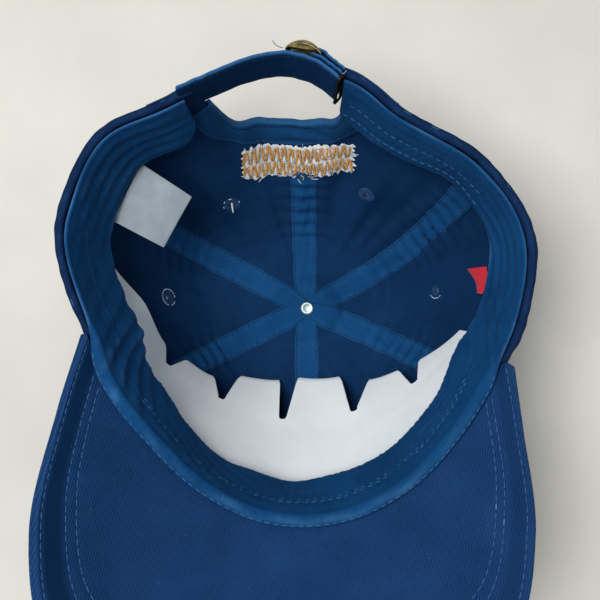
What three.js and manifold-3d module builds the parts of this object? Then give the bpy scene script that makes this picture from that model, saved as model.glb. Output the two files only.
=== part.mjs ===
import * as THREE from "three";
import { mergeVertices } from "three/addons/utils/BufferGeometryUtils.js";
import Module from "manifold-3d";

// A six-panel cotton baseball cap, lying upside down on its flattened crown.
// Millimetres. +Z is up, into the open cap. +Y is the back of the cap, -Y its bill, +X the right
// of someone who looks down into it with the bill towards them. The origin is the middle of the
// flat outer face of the top button, which lies on the surface below.
// Angles are degrees round the button, counted from +X towards +Y.

// Walls and clearances
const clothWall = 1.2;
const gap = 0.3;
const seamGap = 0.36;
// What lies inside the crown clears its wall by the gap and the rise of its flat facets
const facetRise = 0.6;
const liningDepth = clothWall + gap + facetRise;

// Rim of the crown: outer radius, height above the button's face, and how far the free edge of the
// sweatband leans in from its rim edge. The rows are evenly spaced.
const rimRows = [
  { angle: 0, radius: 84.9, height: 94, lean: 11.6 },
  { angle: 20, radius: 91.5, height: 95, lean: 8 },
  { angle: 40, radius: 89.3, height: 96, lean: 7.3 },
  { angle: 60, radius: 85.4, height: 96, lean: 8.4 },
  { angle: 80, radius: 93, height: 96, lean: 10.5 },
  { angle: 100, radius: 97.5, height: 96, lean: 10 },
  { angle: 120, radius: 98, height: 96, lean: 10 },
  { angle: 140, radius: 105, height: 97, lean: 12.5 },
  { angle: 160, radius: 102.8, height: 98, lean: 13 },
  { angle: 180, radius: 89.6, height: 100, lean: 14.1 },
  { angle: 200, radius: 85.3, height: 98, lean: 14.5 },
  { angle: 220, radius: 82.5, height: 93, lean: 11 },
  { angle: 240, radius: 84.7, height: 89, lean: 10.5 },
  { angle: 260, radius: 87.2, height: 86.5, lean: 12 },
  { angle: 280, radius: 86.2, height: 86, lean: 13 },
  { angle: 300, radius: 82.4, height: 87.5, lean: 12 },
  { angle: 320, radius: 78.4, height: 91, lean: 11 },
  { angle: 340, radius: 78.8, height: 93, lean: 13 },
];
const rimStep = 20;

// Section of the crown from the button out to the rim, as shares of the rim's radius and height.
// It lies flat where the cap rests, and is steeper at the sides than at the back and front.
const sideSection = [
  { at: 0, reach: 0, rise: 0 },
  { at: 0.3, reach: 0.52, rise: 0 },
  { at: 0.4, reach: 0.64, rise: 0.07 },
  { at: 0.54, reach: 0.78, rise: 0.25 },
  { at: 0.68, reach: 0.9, rise: 0.46 },
  { at: 0.8, reach: 0.985, rise: 0.66 },
  { at: 0.9, reach: 1.02, rise: 0.83 },
  { at: 1, reach: 1, rise: 1 },
];
const frontSection = [
  { at: 0, reach: 0, rise: 0 },
  { at: 0.3, reach: 0.54, rise: 0 },
  { at: 0.4, reach: 0.645, rise: 0.075 },
  { at: 0.54, reach: 0.76, rise: 0.25 },
  { at: 0.68, reach: 0.865, rise: 0.46 },
  { at: 0.8, reach: 0.945, rise: 0.66 },
  { at: 0.9, reach: 0.985, rise: 0.83 },
  { at: 1, reach: 1, rise: 1 },
];
const backSection = [
  { at: 0, reach: 0, rise: 0 },
  { at: 0.19, reach: 0.32, rise: 0 },
  { at: 0.3, reach: 0.46, rise: 0.08 },
  { at: 0.4, reach: 0.575, rise: 0.21 },
  { at: 0.54, reach: 0.7, rise: 0.355 },
  { at: 0.68, reach: 0.835, rise: 0.515 },
  { at: 0.8, reach: 0.895, rise: 0.69 },
  { at: 0.9, reach: 0.95, rise: 0.845 },
  { at: 1, reach: 1, rise: 1 },
];

// Soft folds of the wall: middle and half width in degrees and in shares of the height, and how
// far the cloth stands out (plus) or falls in (minus).
const folds = [
  { angle: 142, wide: 8, rise: 0.75, tall: 0.35, out: 1.8 },
  { angle: 126, wide: 9, rise: 0.6, tall: 0.3, out: -2.2 },
  { angle: 172, wide: 10, rise: 0.55, tall: 0.25, out: 2.4 },
  { angle: 17, wide: 14, rise: 0.62, tall: 0.28, out: 2.2 },
  { angle: 53, wide: 11, rise: 0.5, tall: 0.25, out: -1.2 },
  { angle: 240, wide: 12, rise: 0.5, tall: 0.25, out: 1.5 },
  { angle: 305, wide: 12, rise: 0.5, tall: 0.25, out: 1.5 },
];

// Seams between the panels: their direction at the button and at the rim.
const seams = {
  right_back: { button: 25, rim: 41 },
  back: { button: 92, rim: 91 },
  left_back: { button: 152, rim: 151 },
  left_front: { button: 206, rim: 208 },
  front: { button: 270, rim: 270 },
  right_front: { button: 338, rim: 335 },
};
const panels = [
  { name: "panel_back_right", from: "right_back", to: "back" },
  { name: "panel_back_left", from: "back", to: "left_back" },
  { name: "panel_side_left", from: "left_back", to: "left_front" },
  { name: "panel_front_left", from: "left_front", to: "front" },
  { name: "panel_front_right", from: "front", to: "right_front" },
  { name: "panel_side_right", from: "right_front", to: "right_back" },
];
const panelPuff = 1.3;
const panelSteps = { angle: 7, up: 12 };
// Rows of the section where the crown and what follows it bend
const crownRows = [0.028, 0.064, 0.09, 0.115, 0.2];
for (let n = 1; n <= panelSteps.up; n += 1) crownRows.push(0.2 + (0.8 * n) / panelSteps.up);

// Top button, pressed up into the crown, and the rivet that holds it from inside
const buttonRadius = 8.6;
const buttonHeight = 2.1;
const buttonSides = 20;
const moundHeight = 2.6;
const moundInner = 9.6;
const moundOuter = 17;
const rivetRadius = 3.1;
const rivetHeight = 1.6;
const rivetStem = 1.7;
const rivetSides = 14;

// Tapes over the seams, inside
const tapeWidth = 12;
const tapeThick = 0.8;
const tapeTop = crownRows[12];
const tapePoint = 24;

// Sweatband
const bandWidth = 32;
const bandThick = 1.4;
const bandInset = 1.8;
const bandLift = 0.5;
const bandStart = 121;
const bandEnd = 441;
const bandSteps = { round: 50, down: 4 };
// Its ends are rounded off over so many degrees, down to a share of its width
const bandRound = { start: 8, startLeast: 0.5, end: 4, endLeast: 0.8 };
const bandHollow = 1.15;

// Bill
const billFrom = 186;
const billTo = 345;
const billCover = 1.8;
const billSeat = 4.3;
const billSeatFade = { from: 7, to: 2 };
const billInset = 1.5;
const billLevel = 71;
const billSlope = 0.2;
const billHalfWidth = 85;
const billRollLeft = 27;
const billRollRight = 20;
const billRollPower = 2.2;
const billOutline = [
  { name: "left root", x: -87, y: -9 },
  { name: "left side", x: -92.5, y: -38 },
  { name: "left width", x: -98.3, y: -80 },
  { name: "left front", x: -89, y: -122 },
  { name: "left tip", x: -54, y: -147 },
  { name: "tip", x: -6, y: -155 },
  { name: "right tip", x: 41, y: -147 },
  { name: "right front", x: 74, y: -123 },
  { name: "right width", x: 83.7, y: -84 },
  { name: "right side", x: 81, y: -45 },
  { name: "right root", x: 79.8, y: -21.5 },
];
const billSteps = { round: 25, out: 5 };

// Opening over the strap: its outline, seen from behind the cap
const archOutline = [
  { x: -46, z: 100 },
  { x: -43.5, z: 86 },
  { x: -39, z: 71 },
  { x: -32, z: 57 },
  { x: -21, z: 51 },
  { x: -8, z: 50 },
  { x: 5, z: 52 },
  { x: 13, z: 59 },
  { x: 16, z: 71 },
  { x: 15.5, z: 84 },
  { x: 14.5, z: 100 },
];
const archSteps = 26;
const archCut = { from: 55, to: 125 };
const bindingWidth = 9;
const bindingThick = 0.9;
const bindingFrom = 0.19;
const bindingTo = 0.8;
// Where its lip passes over the cut edge of the wall: its two faces, and how far it stands out
const bindingLip = { near: -0.4, far: -1.3, proud: 0.7, bulge: 0.1 };

// Back strap. The buckle has its own directions: along the strap, out from the cap, and up.
const strapWidth = 19;
const strapThick = 1.4;
const strapTop = 97.5;
const strapLean = 13;
const strapSteps = { long: 18, short: 24 };
const buckle = { x: -2.4, y: 97.6, turn: -9 };
const buckleWidth = 13;
const barWidth = 1.6;
const frameThick = 1.2;
const frameHeight = strapWidth + 0.6 + 2 * barWidth;
const coverWall = 1;
const coverSide = 0.4;
const coverBase = 1.1;
const coverShoulder = 2.2;
const coverTop = 4.6;
const coverHeight = frameHeight + 2 * gap + 2 * coverWall;
const loopThick = 0.9;
const longStrapRoute = [
  { along: -38.2, out: -19 },
  { along: -31.6, out: -14.8 },
  { along: -23.3, out: -9.6 },
  { along: -14, out: -5 },
  { along: -6.5, out: -2.6 },
  { along: 0, out: -2.6 },
  { along: 5.5, out: -3.6 },
  { along: 10.5, out: -6 },
  { along: 14.6, out: -8.6 },
];
const longStrapSlant = { lean: 5, fade: 8 };
const shortStrapRoute = [
  { along: 15.6, out: -6.5 },
  { along: 10.6, out: -3.7 },
  { along: 7.6, out: -1.9 },
  { along: 5.8, out: -1.4 },
  { along: 4.35, out: -1.1 },
  { along: 4, out: 0 },
  { along: 4.35, out: 1.1 },
  { along: 5.8, out: 1.4 },
  { along: 7.6, out: 0.9 },
  { along: 11.2, out: -1.6 },
  { along: 16.6, out: -4.8 },
];
const tuckSlot = { along: 15.9, out: -9.3, turn: -32, width: 4.6, height: 22, wall: 1.2, thick: 0.8 };

// Eyelets: where each is sewn, by direction and distance from the button
const eyelets = [
  { name: "eyelet_back_left", angle: 125.5, away: 61 },
  { name: "eyelet_back_right", angle: 62.6, away: 60.6 },
  { name: "eyelet_side_left", angle: 176, away: 66.8 },
  { name: "eyelet_side_right", angle: 8, away: 62 },
  { name: "eyelet_front_left", angle: 238, away: 62 },
  { name: "eyelet_front_right", angle: 302, away: 60 },
];
const eyeletRadius = 4;
const eyeletHole = 1.2;
const eyeletProud = 0.35;
const eyeletBevel = { inner: 1, outer: 0.6 };
const eyeletSides = 10;

// Card that keeps the front up. Each corner of its tabs has a foot and a tip direction, and
// a notch stops at the foot.
const cardThick = 0.6;
const cardTopDrop = 9;
const cardInset = 2.9;
const cardBendDrop = 35;
const cardBendLean = 0.62;
const cardBendLeast = 14;
const cardFoot = 0.72;
const cardCorners = [
  { foot: 166, tip: 166 },
  { foot: 200.3, tip: 194.5 },
  { foot: 201.3, notch: true },
  { foot: 202.3, tip: 202.8 },
  { foot: 224.3, tip: 216.3 },
  { foot: 225.6, notch: true },
  { foot: 227.2, tip: 225 },
  { foot: 255.4, tip: 250 },
  { foot: 256.9, notch: true },
  { foot: 258.6, tip: 262 },
  { foot: 293, tip: 296.2 },
  { foot: 294.7, notch: true },
  { foot: 296.6, tip: 310.4 },
  { foot: 324.2, tip: 326 },
  { foot: 325.7, notch: true },
  { foot: 327.4, tip: 335 },
  { foot: 352, tip: 352 },
];
const cardTips = [
  { angle: 166, reach: 87, height: 61 },
  { angle: 179, reach: 71, height: 45 },
  { angle: 195, reach: 66, height: 34 },
  { angle: 203, reach: 60.5, height: 23 },
  { angle: 216, reach: 54.5, height: 17 },
  { angle: 225, reach: 46, height: 9 },
  { angle: 250, reach: 37.5, height: 3.4 },
  { angle: 262, reach: 34.3, height: 3.4 },
  { angle: 296, reach: 37, height: 3.6 },
  { angle: 310, reach: 45, height: 9 },
  { angle: 326, reach: 52, height: 18 },
  { angle: 335, reach: 57, height: 26 },
  { angle: 352, reach: 68, height: 45 },
];
const cardStep = 7;
const cardRows = 5;

// Woven label under the sweatband's edge, the small tab on the right, and the white backing
// of the embroidery on the back
const labelFrom = 138.5;
const labelTo = 156;
const labelLength = 25.5;
const labelDrop = 13;
const labelBow = 2.2;
const labelThick = 0.5;
const tag = { from: 4, to: 14, low: 0.6, high: 0.72, loose: 1.4, thick: 0.6 };
const backing = { left: -29, right: 20.5, low: 27.5, high: 40.5, thick: 0.7, steps: 12 };

const radians = THREE.MathUtils.degToRad;
const mix = THREE.MathUtils.lerp;
const ease = THREE.MathUtils.smoothstep;

// A smooth curve through a table that never passes beyond its rows
function alongTable(rows, key, column, place) {
  const last = rows.length - 1;
  let row = 0;
  while (row < last - 1 && place > rows[row + 1][key]) row += 1;
  const slope = (a) => (rows[a + 1][column] - rows[a][column]) / (rows[a + 1][key] - rows[a][key]);
  const tangent = (a) => {
    if (a === 0) return slope(0);
    if (a === last) return slope(last - 1);
    const before = slope(a - 1);
    const after = slope(a);
    return before * after <= 0 ? 0 : (2 * before * after) / (before + after);
  };
  const width = rows[row + 1][key] - rows[row][key];
  const t = THREE.MathUtils.clamp((place - rows[row][key]) / width, 0, 1);
  const start = rows[row][column];
  const end = rows[row + 1][column];
  const rise = t * t * (3 - 2 * t);
  return mix(start, end, rise) + width * t * (1 - t) * ((1 - t) * tangent(row) - t * tangent(row + 1));
}

// A value of the rim's table at any angle, smooth all the way round
function rimValue(angle, column) {
  const place = THREE.MathUtils.euclideanModulo(angle, 360) / rimStep;
  const row = Math.floor(place);
  const t = place - row;
  const value = (n) => rimRows[THREE.MathUtils.euclideanModulo(row + n, rimRows.length)][column];
  const [a, b, c, d] = [-1, 0, 1, 2].map(value);
  const bend = (2 * a - 5 * b + 4 * c - d) * t * t + (3 * b - a - 3 * c + d) * t * t * t;
  return 0.5 * (2 * b + (c - a) * t + bend);
}

function seamAngle(name, at) {
  return mix(seams[name].button, seams[name].rim, at);
}

// Share of the way across its panel, 0 and 1 at the seams
function acrossPanel(angle, at) {
  for (const panel of panels) {
    const from = seamAngle(panel.from, at);
    const wide = THREE.MathUtils.euclideanModulo(seamAngle(panel.to, at) - from, 360);
    const into = THREE.MathUtils.euclideanModulo(angle - from, 360);
    if (into <= wide) return into / wide;
  }
  return 0;
}

// 1 where the bill is sewn to the rim, 0 elsewhere
function underBill(angle) {
  const turn = THREE.MathUtils.euclideanModulo(angle, 360);
  const { from, to } = billSeatFade;
  return ease(turn, billFrom - from, billFrom - to) * (1 - ease(turn, billTo + to, billTo + from));
}

function crownOuter(angle, at) {
  const facing = (middle, power) => Math.max(0, Math.cos(radians(angle - middle))) ** power;
  const front = facing(270, 1.5);
  const back = facing(95, 3.5);
  const column = (name) =>
    front * alongTable(frontSection, "at", name, at) +
    back * alongTable(backSection, "at", name, at) +
    (1 - front - back) * alongTable(sideSection, "at", name, at);
  const rise = column("rise");
  let radius = column("reach") * rimValue(angle, "radius");
  const onWall = ease(rise, 0.03, 0.3) * (1 - ease(rise, 0.8, 1));
  radius += panelPuff * onWall * Math.sin(Math.PI * acrossPanel(angle, at)) ** 2;
  for (const fold of folds) {
    const aside = (angle - fold.angle) / fold.wide;
    const above = (rise - fold.rise) / fold.tall;
    radius += fold.out * onWall * Math.exp(-aside * aside - above * above);
  }
  const height = rimValue(angle, "height") - billSeat * underBill(angle);
  const mound = moundHeight * (1 - ease(radius, moundInner, moundOuter));
  const turn = radians(angle);
  return new THREE.Vector3(radius * Math.cos(turn), radius * Math.sin(turn), rise * height + mound);
}

// A point of the crown, so deep inwards from its outer face
function crownPoint(angle, at, depth = 0) {
  const point = crownOuter(angle, at);
  if (depth === 0) return point;
  const step = 0.004;
  const round = crownOuter(angle + 0.5, at).sub(crownOuter(angle - 0.5, at));
  const up = crownOuter(angle, Math.min(1, at + step)).sub(crownOuter(angle, Math.max(0, at - step)));
  return point.addScaledVector(round.cross(up).normalize(), -depth);
}

// The share of the section at which a test of the crown's outer face passes a value
function findAt(angle, value, measure) {
  let low = 0;
  let high = 0.97;
  for (let turn = 0; turn < 24; turn += 1) {
    const middle = (low + high) / 2;
    if (measure(crownOuter(angle, middle)) < value) low = middle;
    else high = middle;
  }
  return (low + high) / 2;
}

const atRadius = (angle, radius) => findAt(angle, radius, (p) => Math.hypot(p.x, p.y));
const atHeight = (angle, height) => findAt(angle, height, (p) => p.z + 1e-3 * Math.hypot(p.x, p.y));

// The back wall at a place seen from behind
function backWallPoint(x, z, depth) {
  let angle = 90 - x * 0.6;
  let at = 0.7;
  for (let turn = 0; turn < 8; turn += 1) {
    at = atHeight(angle, z);
    const point = crownOuter(angle, at);
    angle = THREE.MathUtils.radToDeg(Math.acos(x / Math.hypot(point.x, point.y)));
  }
  return crownPoint(angle, at, depth);
}

// A closed body from its points and triangles, turned so that its faces point out
function closedBody(points, triangles) {
  let volume = 0;
  for (const [a, b, c] of triangles) {
    volume += points[a].dot(new THREE.Vector3().crossVectors(points[b], points[c]));
  }
  const geometry = new THREE.BufferGeometry();
  const places = points.flatMap((p) => p.toArray());
  geometry.setAttribute("position", new THREE.Float32BufferAttribute(places, 3));
  geometry.setIndex(triangles.flatMap(([a, b, c]) => (volume > 0 ? [a, b, c] : [a, c, b])));
  return geometry;
}

// A wall between two faces: pointAt(u, v, face) gives a point for u and v from 0 to 1, face 0 or 1
function wall(across, up, pointAt) {
  const points = [];
  const index = (i, j, face) => (j * (across + 1) + i) * 2 + face;
  for (let j = 0; j <= up; j += 1) {
    for (let i = 0; i <= across; i += 1) {
      points.push(pointAt(i / across, j / up, 0), pointAt(i / across, j / up, 1));
    }
  }
  const triangles = [];
  const quad = (a, b, c, d) => triangles.push([a, b, c], [a, c, d]);
  for (let j = 0; j < up; j += 1) {
    for (let i = 0; i < across; i += 1) {
      quad(index(i, j, 0), index(i + 1, j, 0), index(i + 1, j + 1, 0), index(i, j + 1, 0));
      quad(index(i, j, 1), index(i, j + 1, 1), index(i + 1, j + 1, 1), index(i + 1, j, 1));
    }
    quad(index(0, j, 0), index(0, j + 1, 0), index(0, j + 1, 1), index(0, j, 1));
    quad(index(across, j, 0), index(across, j, 1), index(across, j + 1, 1), index(across, j + 1, 0));
  }
  for (let i = 0; i < across; i += 1) {
    quad(index(i, 0, 0), index(i, 0, 1), index(i + 1, 0, 1), index(i + 1, 0, 0));
    quad(index(i, up, 0), index(i + 1, up, 0), index(i + 1, up, 1), index(i, up, 1));
  }
  return closedBody(points, triangles);
}

// A section carried along stations: pointAt(station, corner) gives each corner of the section
function carried(stations, corners, pointAt) {
  const points = [];
  const triangles = [];
  const size = corners.length;
  for (let n = 0; n < stations; n += 1) {
    for (const corner of corners) points.push(pointAt(n / (stations - 1), corner));
  }
  for (let n = 0; n < stations - 1; n += 1) {
    for (let c = 0; c < size; c += 1) {
      const next = (c + 1) % size;
      const [a, b] = [n * size + c, n * size + next];
      triangles.push([a, b, b + size], [a, b + size, a + size]);
    }
  }
  const flat = corners.map(({ x, y }) => new THREE.Vector2(x, y));
  const last = (stations - 1) * size;
  const turned = (...rows) => THREE.ShapeUtils.area(rows.map((row) => flat[row])) > 0;
  const sense = THREE.ShapeUtils.area(flat) > 0;
  for (const [a, b, c] of THREE.ShapeUtils.triangulateShape(flat, [])) {
    const [d, e] = turned(a, b, c) === sense ? [b, c] : [c, b];
    triangles.push([a, e, d], [last + a, last + d, last + e]);
  }
  return closedBody(points, triangles);
}

function solidOf(geometry) {
  const bare = geometry.clone();
  bare.deleteAttribute("normal");
  bare.deleteAttribute("uv");
  const merged = mergeVertices(bare, 1e-4);
  return new wasm.Manifold(
    new wasm.Mesh({
      numProp: 3,
      vertProperties: new Float32Array(merged.attributes.position.array),
      triVerts: new Uint32Array(merged.index.array),
    }),
  );
}

function geometryOf(solid) {
  const mesh = solid.getMesh();
  const geometry = new THREE.BufferGeometry();
  geometry.setAttribute("position", new THREE.BufferAttribute(mesh.vertProperties, 3));
  geometry.setIndex(new THREE.BufferAttribute(mesh.triVerts, 1));
  return geometry;
}

function archGeometry() {
  const curve = new THREE.CatmullRomCurve3(archOutline.map(({ x, z }) => new THREE.Vector3(x, z, 0)));
  const shape = new THREE.Shape(curve.getPoints(archSteps).map((p) => new THREE.Vector2(p.x, p.y)));
  const depth = archCut.to - archCut.from;
  const geometry = new THREE.ExtrudeGeometry(shape, { depth, bevelEnabled: false });
  geometry.rotateX(Math.PI / 2);
  geometry.translate(0, archCut.to, 0);
  return geometry;
}

// Where an eyelet sits: the middle of the wall there, and its direction through the wall
function eyeletSeat(eyelet) {
  const at = atRadius(eyelet.angle, eyelet.away);
  const outer = crownPoint(eyelet.angle, at, 0);
  const inner = crownPoint(eyelet.angle, at, clothWall);
  return { middle: outer.clone().add(inner).multiplyScalar(0.5), through: inner.sub(outer).normalize() };
}

const upwards = new THREE.Vector3(0, 1, 0);

function placeAlong(object, seat) {
  object.position.copy(seat.middle);
  object.quaternion.setFromUnitVectors(upwards, seat.through);
  return object;
}

function panelGeometry(panel) {
  const rings = crownRows.length - 1;
  const wide = THREE.MathUtils.euclideanModulo(seams[panel.to].rim - seams[panel.from].rim, 360);
  const geometry = wall(Math.round(wide / panelSteps.angle), rings, (u, v, face) => {
    const at = crownRows[Math.round(v * rings)];
    const from = seamAngle(panel.from, at);
    const to = from + THREE.MathUtils.euclideanModulo(seamAngle(panel.to, at) - from, 360);
    const edge = crownOuter(from, at);
    const inset = THREE.MathUtils.radToDeg(seamGap / 2 / Math.hypot(edge.x, edge.y));
    return crownPoint(mix(from + inset, to - inset, u), at, face * clothWall);
  });
  let solid = solidOf(geometry);
  if (panel.name.startsWith("panel_back")) solid = solid.subtract(solidOf(archGeometry()));
  for (const eyelet of eyelets) {
    const bore = eyeletRadius + gap;
    const drill = new THREE.Mesh(new THREE.CylinderGeometry(bore, bore, 8, eyeletSides));
    placeAlong(drill, eyeletSeat(eyelet)).updateMatrix();
    drill.geometry.applyMatrix4(drill.matrix);
    solid = solid.subtract(solidOf(drill.geometry));
  }
  return geometryOf(solid);
}

// A tape along a seam, inside the crown, with a wedge-shaped inner end so that the six meet
function tapeGeometry(name) {
  const top = name === "back" ? atHeight(seamAngle(name, 0.5), backing.low - 1) : tapeTop;
  const places = crownRows.filter((row) => row < top - 0.02).concat(top);
  const last = places.length - 1;
  return wall(4, last, (u, v, face) => {
    const at = places[Math.round(v * last)];
    const angle = seamAngle(name, at);
    const point = crownOuter(angle, at);
    const radius = Math.hypot(point.x, point.y);
    const half = Math.min(tapeWidth / 2, radius * Math.tan(radians(tapePoint)) - gap);
    const aside = THREE.MathUtils.radToDeg(Math.atan(((2 * u - 1) * half) / radius));
    return crownPoint(angle + aside, at, liningDepth + face * tapeThick);
  });
}

// The sweatband: down from the rim edge (v 0) to its free edge (v 1). Face 0 touches the crown.
function bandPoint(angle, down, depth) {
  const lean = rimValue(angle, "lean");
  const drop = Math.sqrt(bandWidth ** 2 - lean ** 2);
  const radius = rimValue(angle, "radius") - bandInset - lean * down ** bandHollow - depth;
  const height = rimValue(angle, "height") + bandLift - drop * down;
  const turn = radians(angle);
  return new THREE.Vector3(radius * Math.cos(turn), radius * Math.sin(turn), height);
}

// How far down the band reaches, as a share of its width
function bandReach(angle) {
  const rounded = (inside, size, least) => {
    const t = THREE.MathUtils.clamp(inside / size, 0, 1);
    return mix(least, 1, Math.sqrt(1 - (1 - t) ** 2));
  };
  return Math.min(
    rounded(angle - bandStart, bandRound.start, bandRound.startLeast),
    rounded(bandEnd - angle, bandRound.end, bandRound.endLeast),
  );
}

function bandGeometry() {
  return wall(bandSteps.round, bandSteps.down, (u, v, face) => {
    const angle = mix(bandStart, bandEnd, u);
    return bandPoint(angle, v * bandReach(angle), face * bandThick);
  });
}

function billHeight(x, y) {
  const roll = x < 0 ? billRollLeft : billRollRight;
  return billLevel - billSlope * y + roll * (Math.abs(x) / billHalfWidth) ** billRollPower;
}

const billEdge = new THREE.CatmullRomCurve3(
  billOutline.map(({ x, y }) => new THREE.Vector3(x, y, 0)),
  false,
  "centripetal",
);

// The bill from the rim (out 0) to its edge (out 1), so deep below its inner cover
function billPoint(along, out, depth) {
  const angle = mix(billFrom, billTo, along);
  const turn = radians(angle);
  const radius = rimValue(angle, "radius") - billInset;
  const root = new THREE.Vector3(radius * Math.cos(turn), radius * Math.sin(turn), 0);
  const edge = billEdge.getPointAt(along);
  const point = root.clone().lerp(edge, out);
  const lift = rimValue(angle, "height") - billHeight(root.x, root.y);
  const at = billHeight(point.x, point.y) + lift * (1 - out) ** 2;
  const step = 0.5;
  const slopeX = (billHeight(point.x + step, point.y) - billHeight(point.x - step, point.y)) / (2 * step);
  const down = new THREE.Vector3(slopeX, -billSlope, -1).normalize();
  return new THREE.Vector3(point.x, point.y, at).addScaledVector(down, depth);
}

function billGeometry(depth) {
  return wall(billSteps.round, billSteps.out, (u, v, face) => billPoint(u, v, depth + face * billCover));
}

function bindingGeometry() {
  const curve = new THREE.CatmullRomCurve3(archOutline.map(({ x, z }) => new THREE.Vector3(x, z, 0)));
  const inner = liningDepth;
  const corners = [
    { x: bindingLip.far, y: -bindingLip.proud },
    { x: bindingLip.far, y: inner + bindingThick },
    { x: bindingWidth / 2, y: inner + bindingThick + bindingLip.bulge },
    { x: bindingWidth, y: inner + bindingThick },
    { x: bindingWidth, y: inner },
    { x: bindingWidth / 2, y: inner + bindingLip.bulge },
    { x: bindingLip.near, y: inner },
    { x: bindingLip.near, y: -bindingLip.proud },
  ];
  return carried(archSteps, corners, (t, corner) => {
    const place = mix(bindingFrom, bindingTo, t);
    const at = curve.getPointAt(place);
    const along = curve.getTangentAt(place);
    return backWallPoint(at.x + along.y * corner.x, at.y - along.x * corner.x, corner.y);
  });
}

// A strap as a ribbon standing on edge, along a smooth route in the buckle's own directions.
// Its first end may be cut at a slant, to follow the edge of the opening.
function strapGeometry(route, thick, steps, slant = { lean: 0, fade: 1 }) {
  const curve = new THREE.CatmullRomCurve3(
    route.map(({ along, out }) => new THREE.Vector3(along, out, 0)),
    false,
    "centripetal",
  );
  return wall(steps, 1, (u, v, face) => {
    const at = curve.getPointAt(u);
    const along = curve.getTangentAt(u);
    const side = (face - 0.5) * thick;
    at.addScaledVector(along, -slant.lean * (v - 0.5) * (1 - u) ** slant.fade);
    return new THREE.Vector3(at.x - along.y * side, at.y + along.x * side, (v - 0.5) * strapWidth);
  });
}

function roundedOutline(width, height, corner) {
  const shape = new THREE.Shape();
  const [x, y] = [width / 2, height / 2];
  shape.moveTo(-x + corner, -y);
  shape.lineTo(x - corner, -y);
  shape.absarc(x - corner, -y + corner, corner, -Math.PI / 2, 0);
  shape.lineTo(x, y - corner);
  shape.absarc(x - corner, y - corner, corner, 0, Math.PI / 2);
  shape.lineTo(-x + corner, y);
  shape.absarc(-x + corner, y - corner, corner, Math.PI / 2, Math.PI);
  shape.lineTo(-x, -y + corner);
  shape.absarc(-x + corner, -y + corner, corner, Math.PI, 1.5 * Math.PI);
  return shape;
}

// A flat ring standing upright, its thickness along the buckle's out direction
function uprightRing(width, height, bar, thick, corner) {
  const shape = roundedOutline(width, height, corner);
  shape.holes.push(roundedOutline(width - 2 * bar, height - 2 * bar, corner / 3));
  const settings = { depth: thick, bevelEnabled: false, curveSegments: 3 };
  const geometry = new THREE.ExtrudeGeometry(shape, settings);
  geometry.rotateX(Math.PI / 2);
  geometry.translate(0, thick / 2, 0);
  return geometry;
}

// The buckle's domed cover: a bow with a flange above and below
function coverGeometry() {
  const bow = (half, base, shoulder, top, height) => {
    const shape = new THREE.Shape();
    shape.moveTo(-half, base);
    shape.lineTo(-half, shoulder);
    shape.quadraticCurveTo(0, 2 * top - shoulder, half, shoulder);
    shape.lineTo(half, base);
    const settings = { depth: height, bevelEnabled: false, curveSegments: 10 };
    const geometry = new THREE.ExtrudeGeometry(shape, settings);
    return solidOf(geometry.translate(0, 0, -height / 2));
  };
  const half = buckleWidth / 2 + coverSide;
  const solid = bow(half, coverBase, coverShoulder, coverTop, coverHeight);
  const inside = coverHeight - 2 * coverWall;
  const hollow = bow(half + gap, coverBase - gap, coverShoulder - 2 * gap, coverTop - coverWall, inside);
  return geometryOf(solid.subtract(hollow));
}

function buttonGeometry() {
  const rim = buttonRadius;
  const profile = [
    [0, 0],
    [rim - 1.2, 0],
    [rim - 0.3, 0.4],
    [rim, 1.2],
    [rim - 0.4, buttonHeight],
    [0, buttonHeight],
  ].map(([r, z]) => new THREE.Vector2(r, z));
  return new THREE.LatheGeometry(profile, buttonSides).rotateX(Math.PI / 2);
}

// The rivet's head inside the crown, with a stem that goes down to the button
function rivetGeometry() {
  const base = moundHeight + liningDepth + tapeThick + gap;
  const profile = [
    [0, buttonHeight + gap],
    [rivetStem, buttonHeight + gap],
    [rivetStem, base],
    [rivetRadius, base],
    [rivetRadius, base + 0.5],
    [rivetRadius - 0.7, base + rivetHeight - 0.2],
    [rivetRadius - 1.4, base + rivetHeight],
    [0, base + rivetHeight - 0.5],
  ].map(([r, z]) => new THREE.Vector2(r, z));
  return new THREE.LatheGeometry(profile, rivetSides).rotateX(Math.PI / 2);
}

function eyeletGeometry() {
  const half = clothWall / 2 + eyeletProud;
  const profile = [
    [eyeletHole, 0],
    [eyeletHole + eyeletBevel.inner, -half],
    [eyeletRadius - eyeletBevel.outer, -half],
    [eyeletRadius, 0],
    [eyeletRadius - eyeletBevel.outer, half],
    [eyeletHole + eyeletBevel.inner, half],
    [eyeletHole, 0],
  ].map(([r, z]) => new THREE.Vector2(r, z));
  return new THREE.LatheGeometry(profile, eyeletSides);
}

// Columns of the card, with more between the corners of each wide tab
function cardColumns() {
  const columns = [];
  cardCorners.forEach((corner, n) => {
    const before = cardCorners[n - 1];
    if (before && !before.notch && !corner.notch) {
      const parts = Math.ceil((corner.foot - before.foot) / cardStep);
      for (let part = 1; part < parts; part += 1) {
        const t = part / parts;
        columns.push({ foot: mix(before.foot, corner.foot, t), tip: mix(before.tip, corner.tip, t) });
      }
    }
    columns.push(corner);
  });
  return columns;
}

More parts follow.
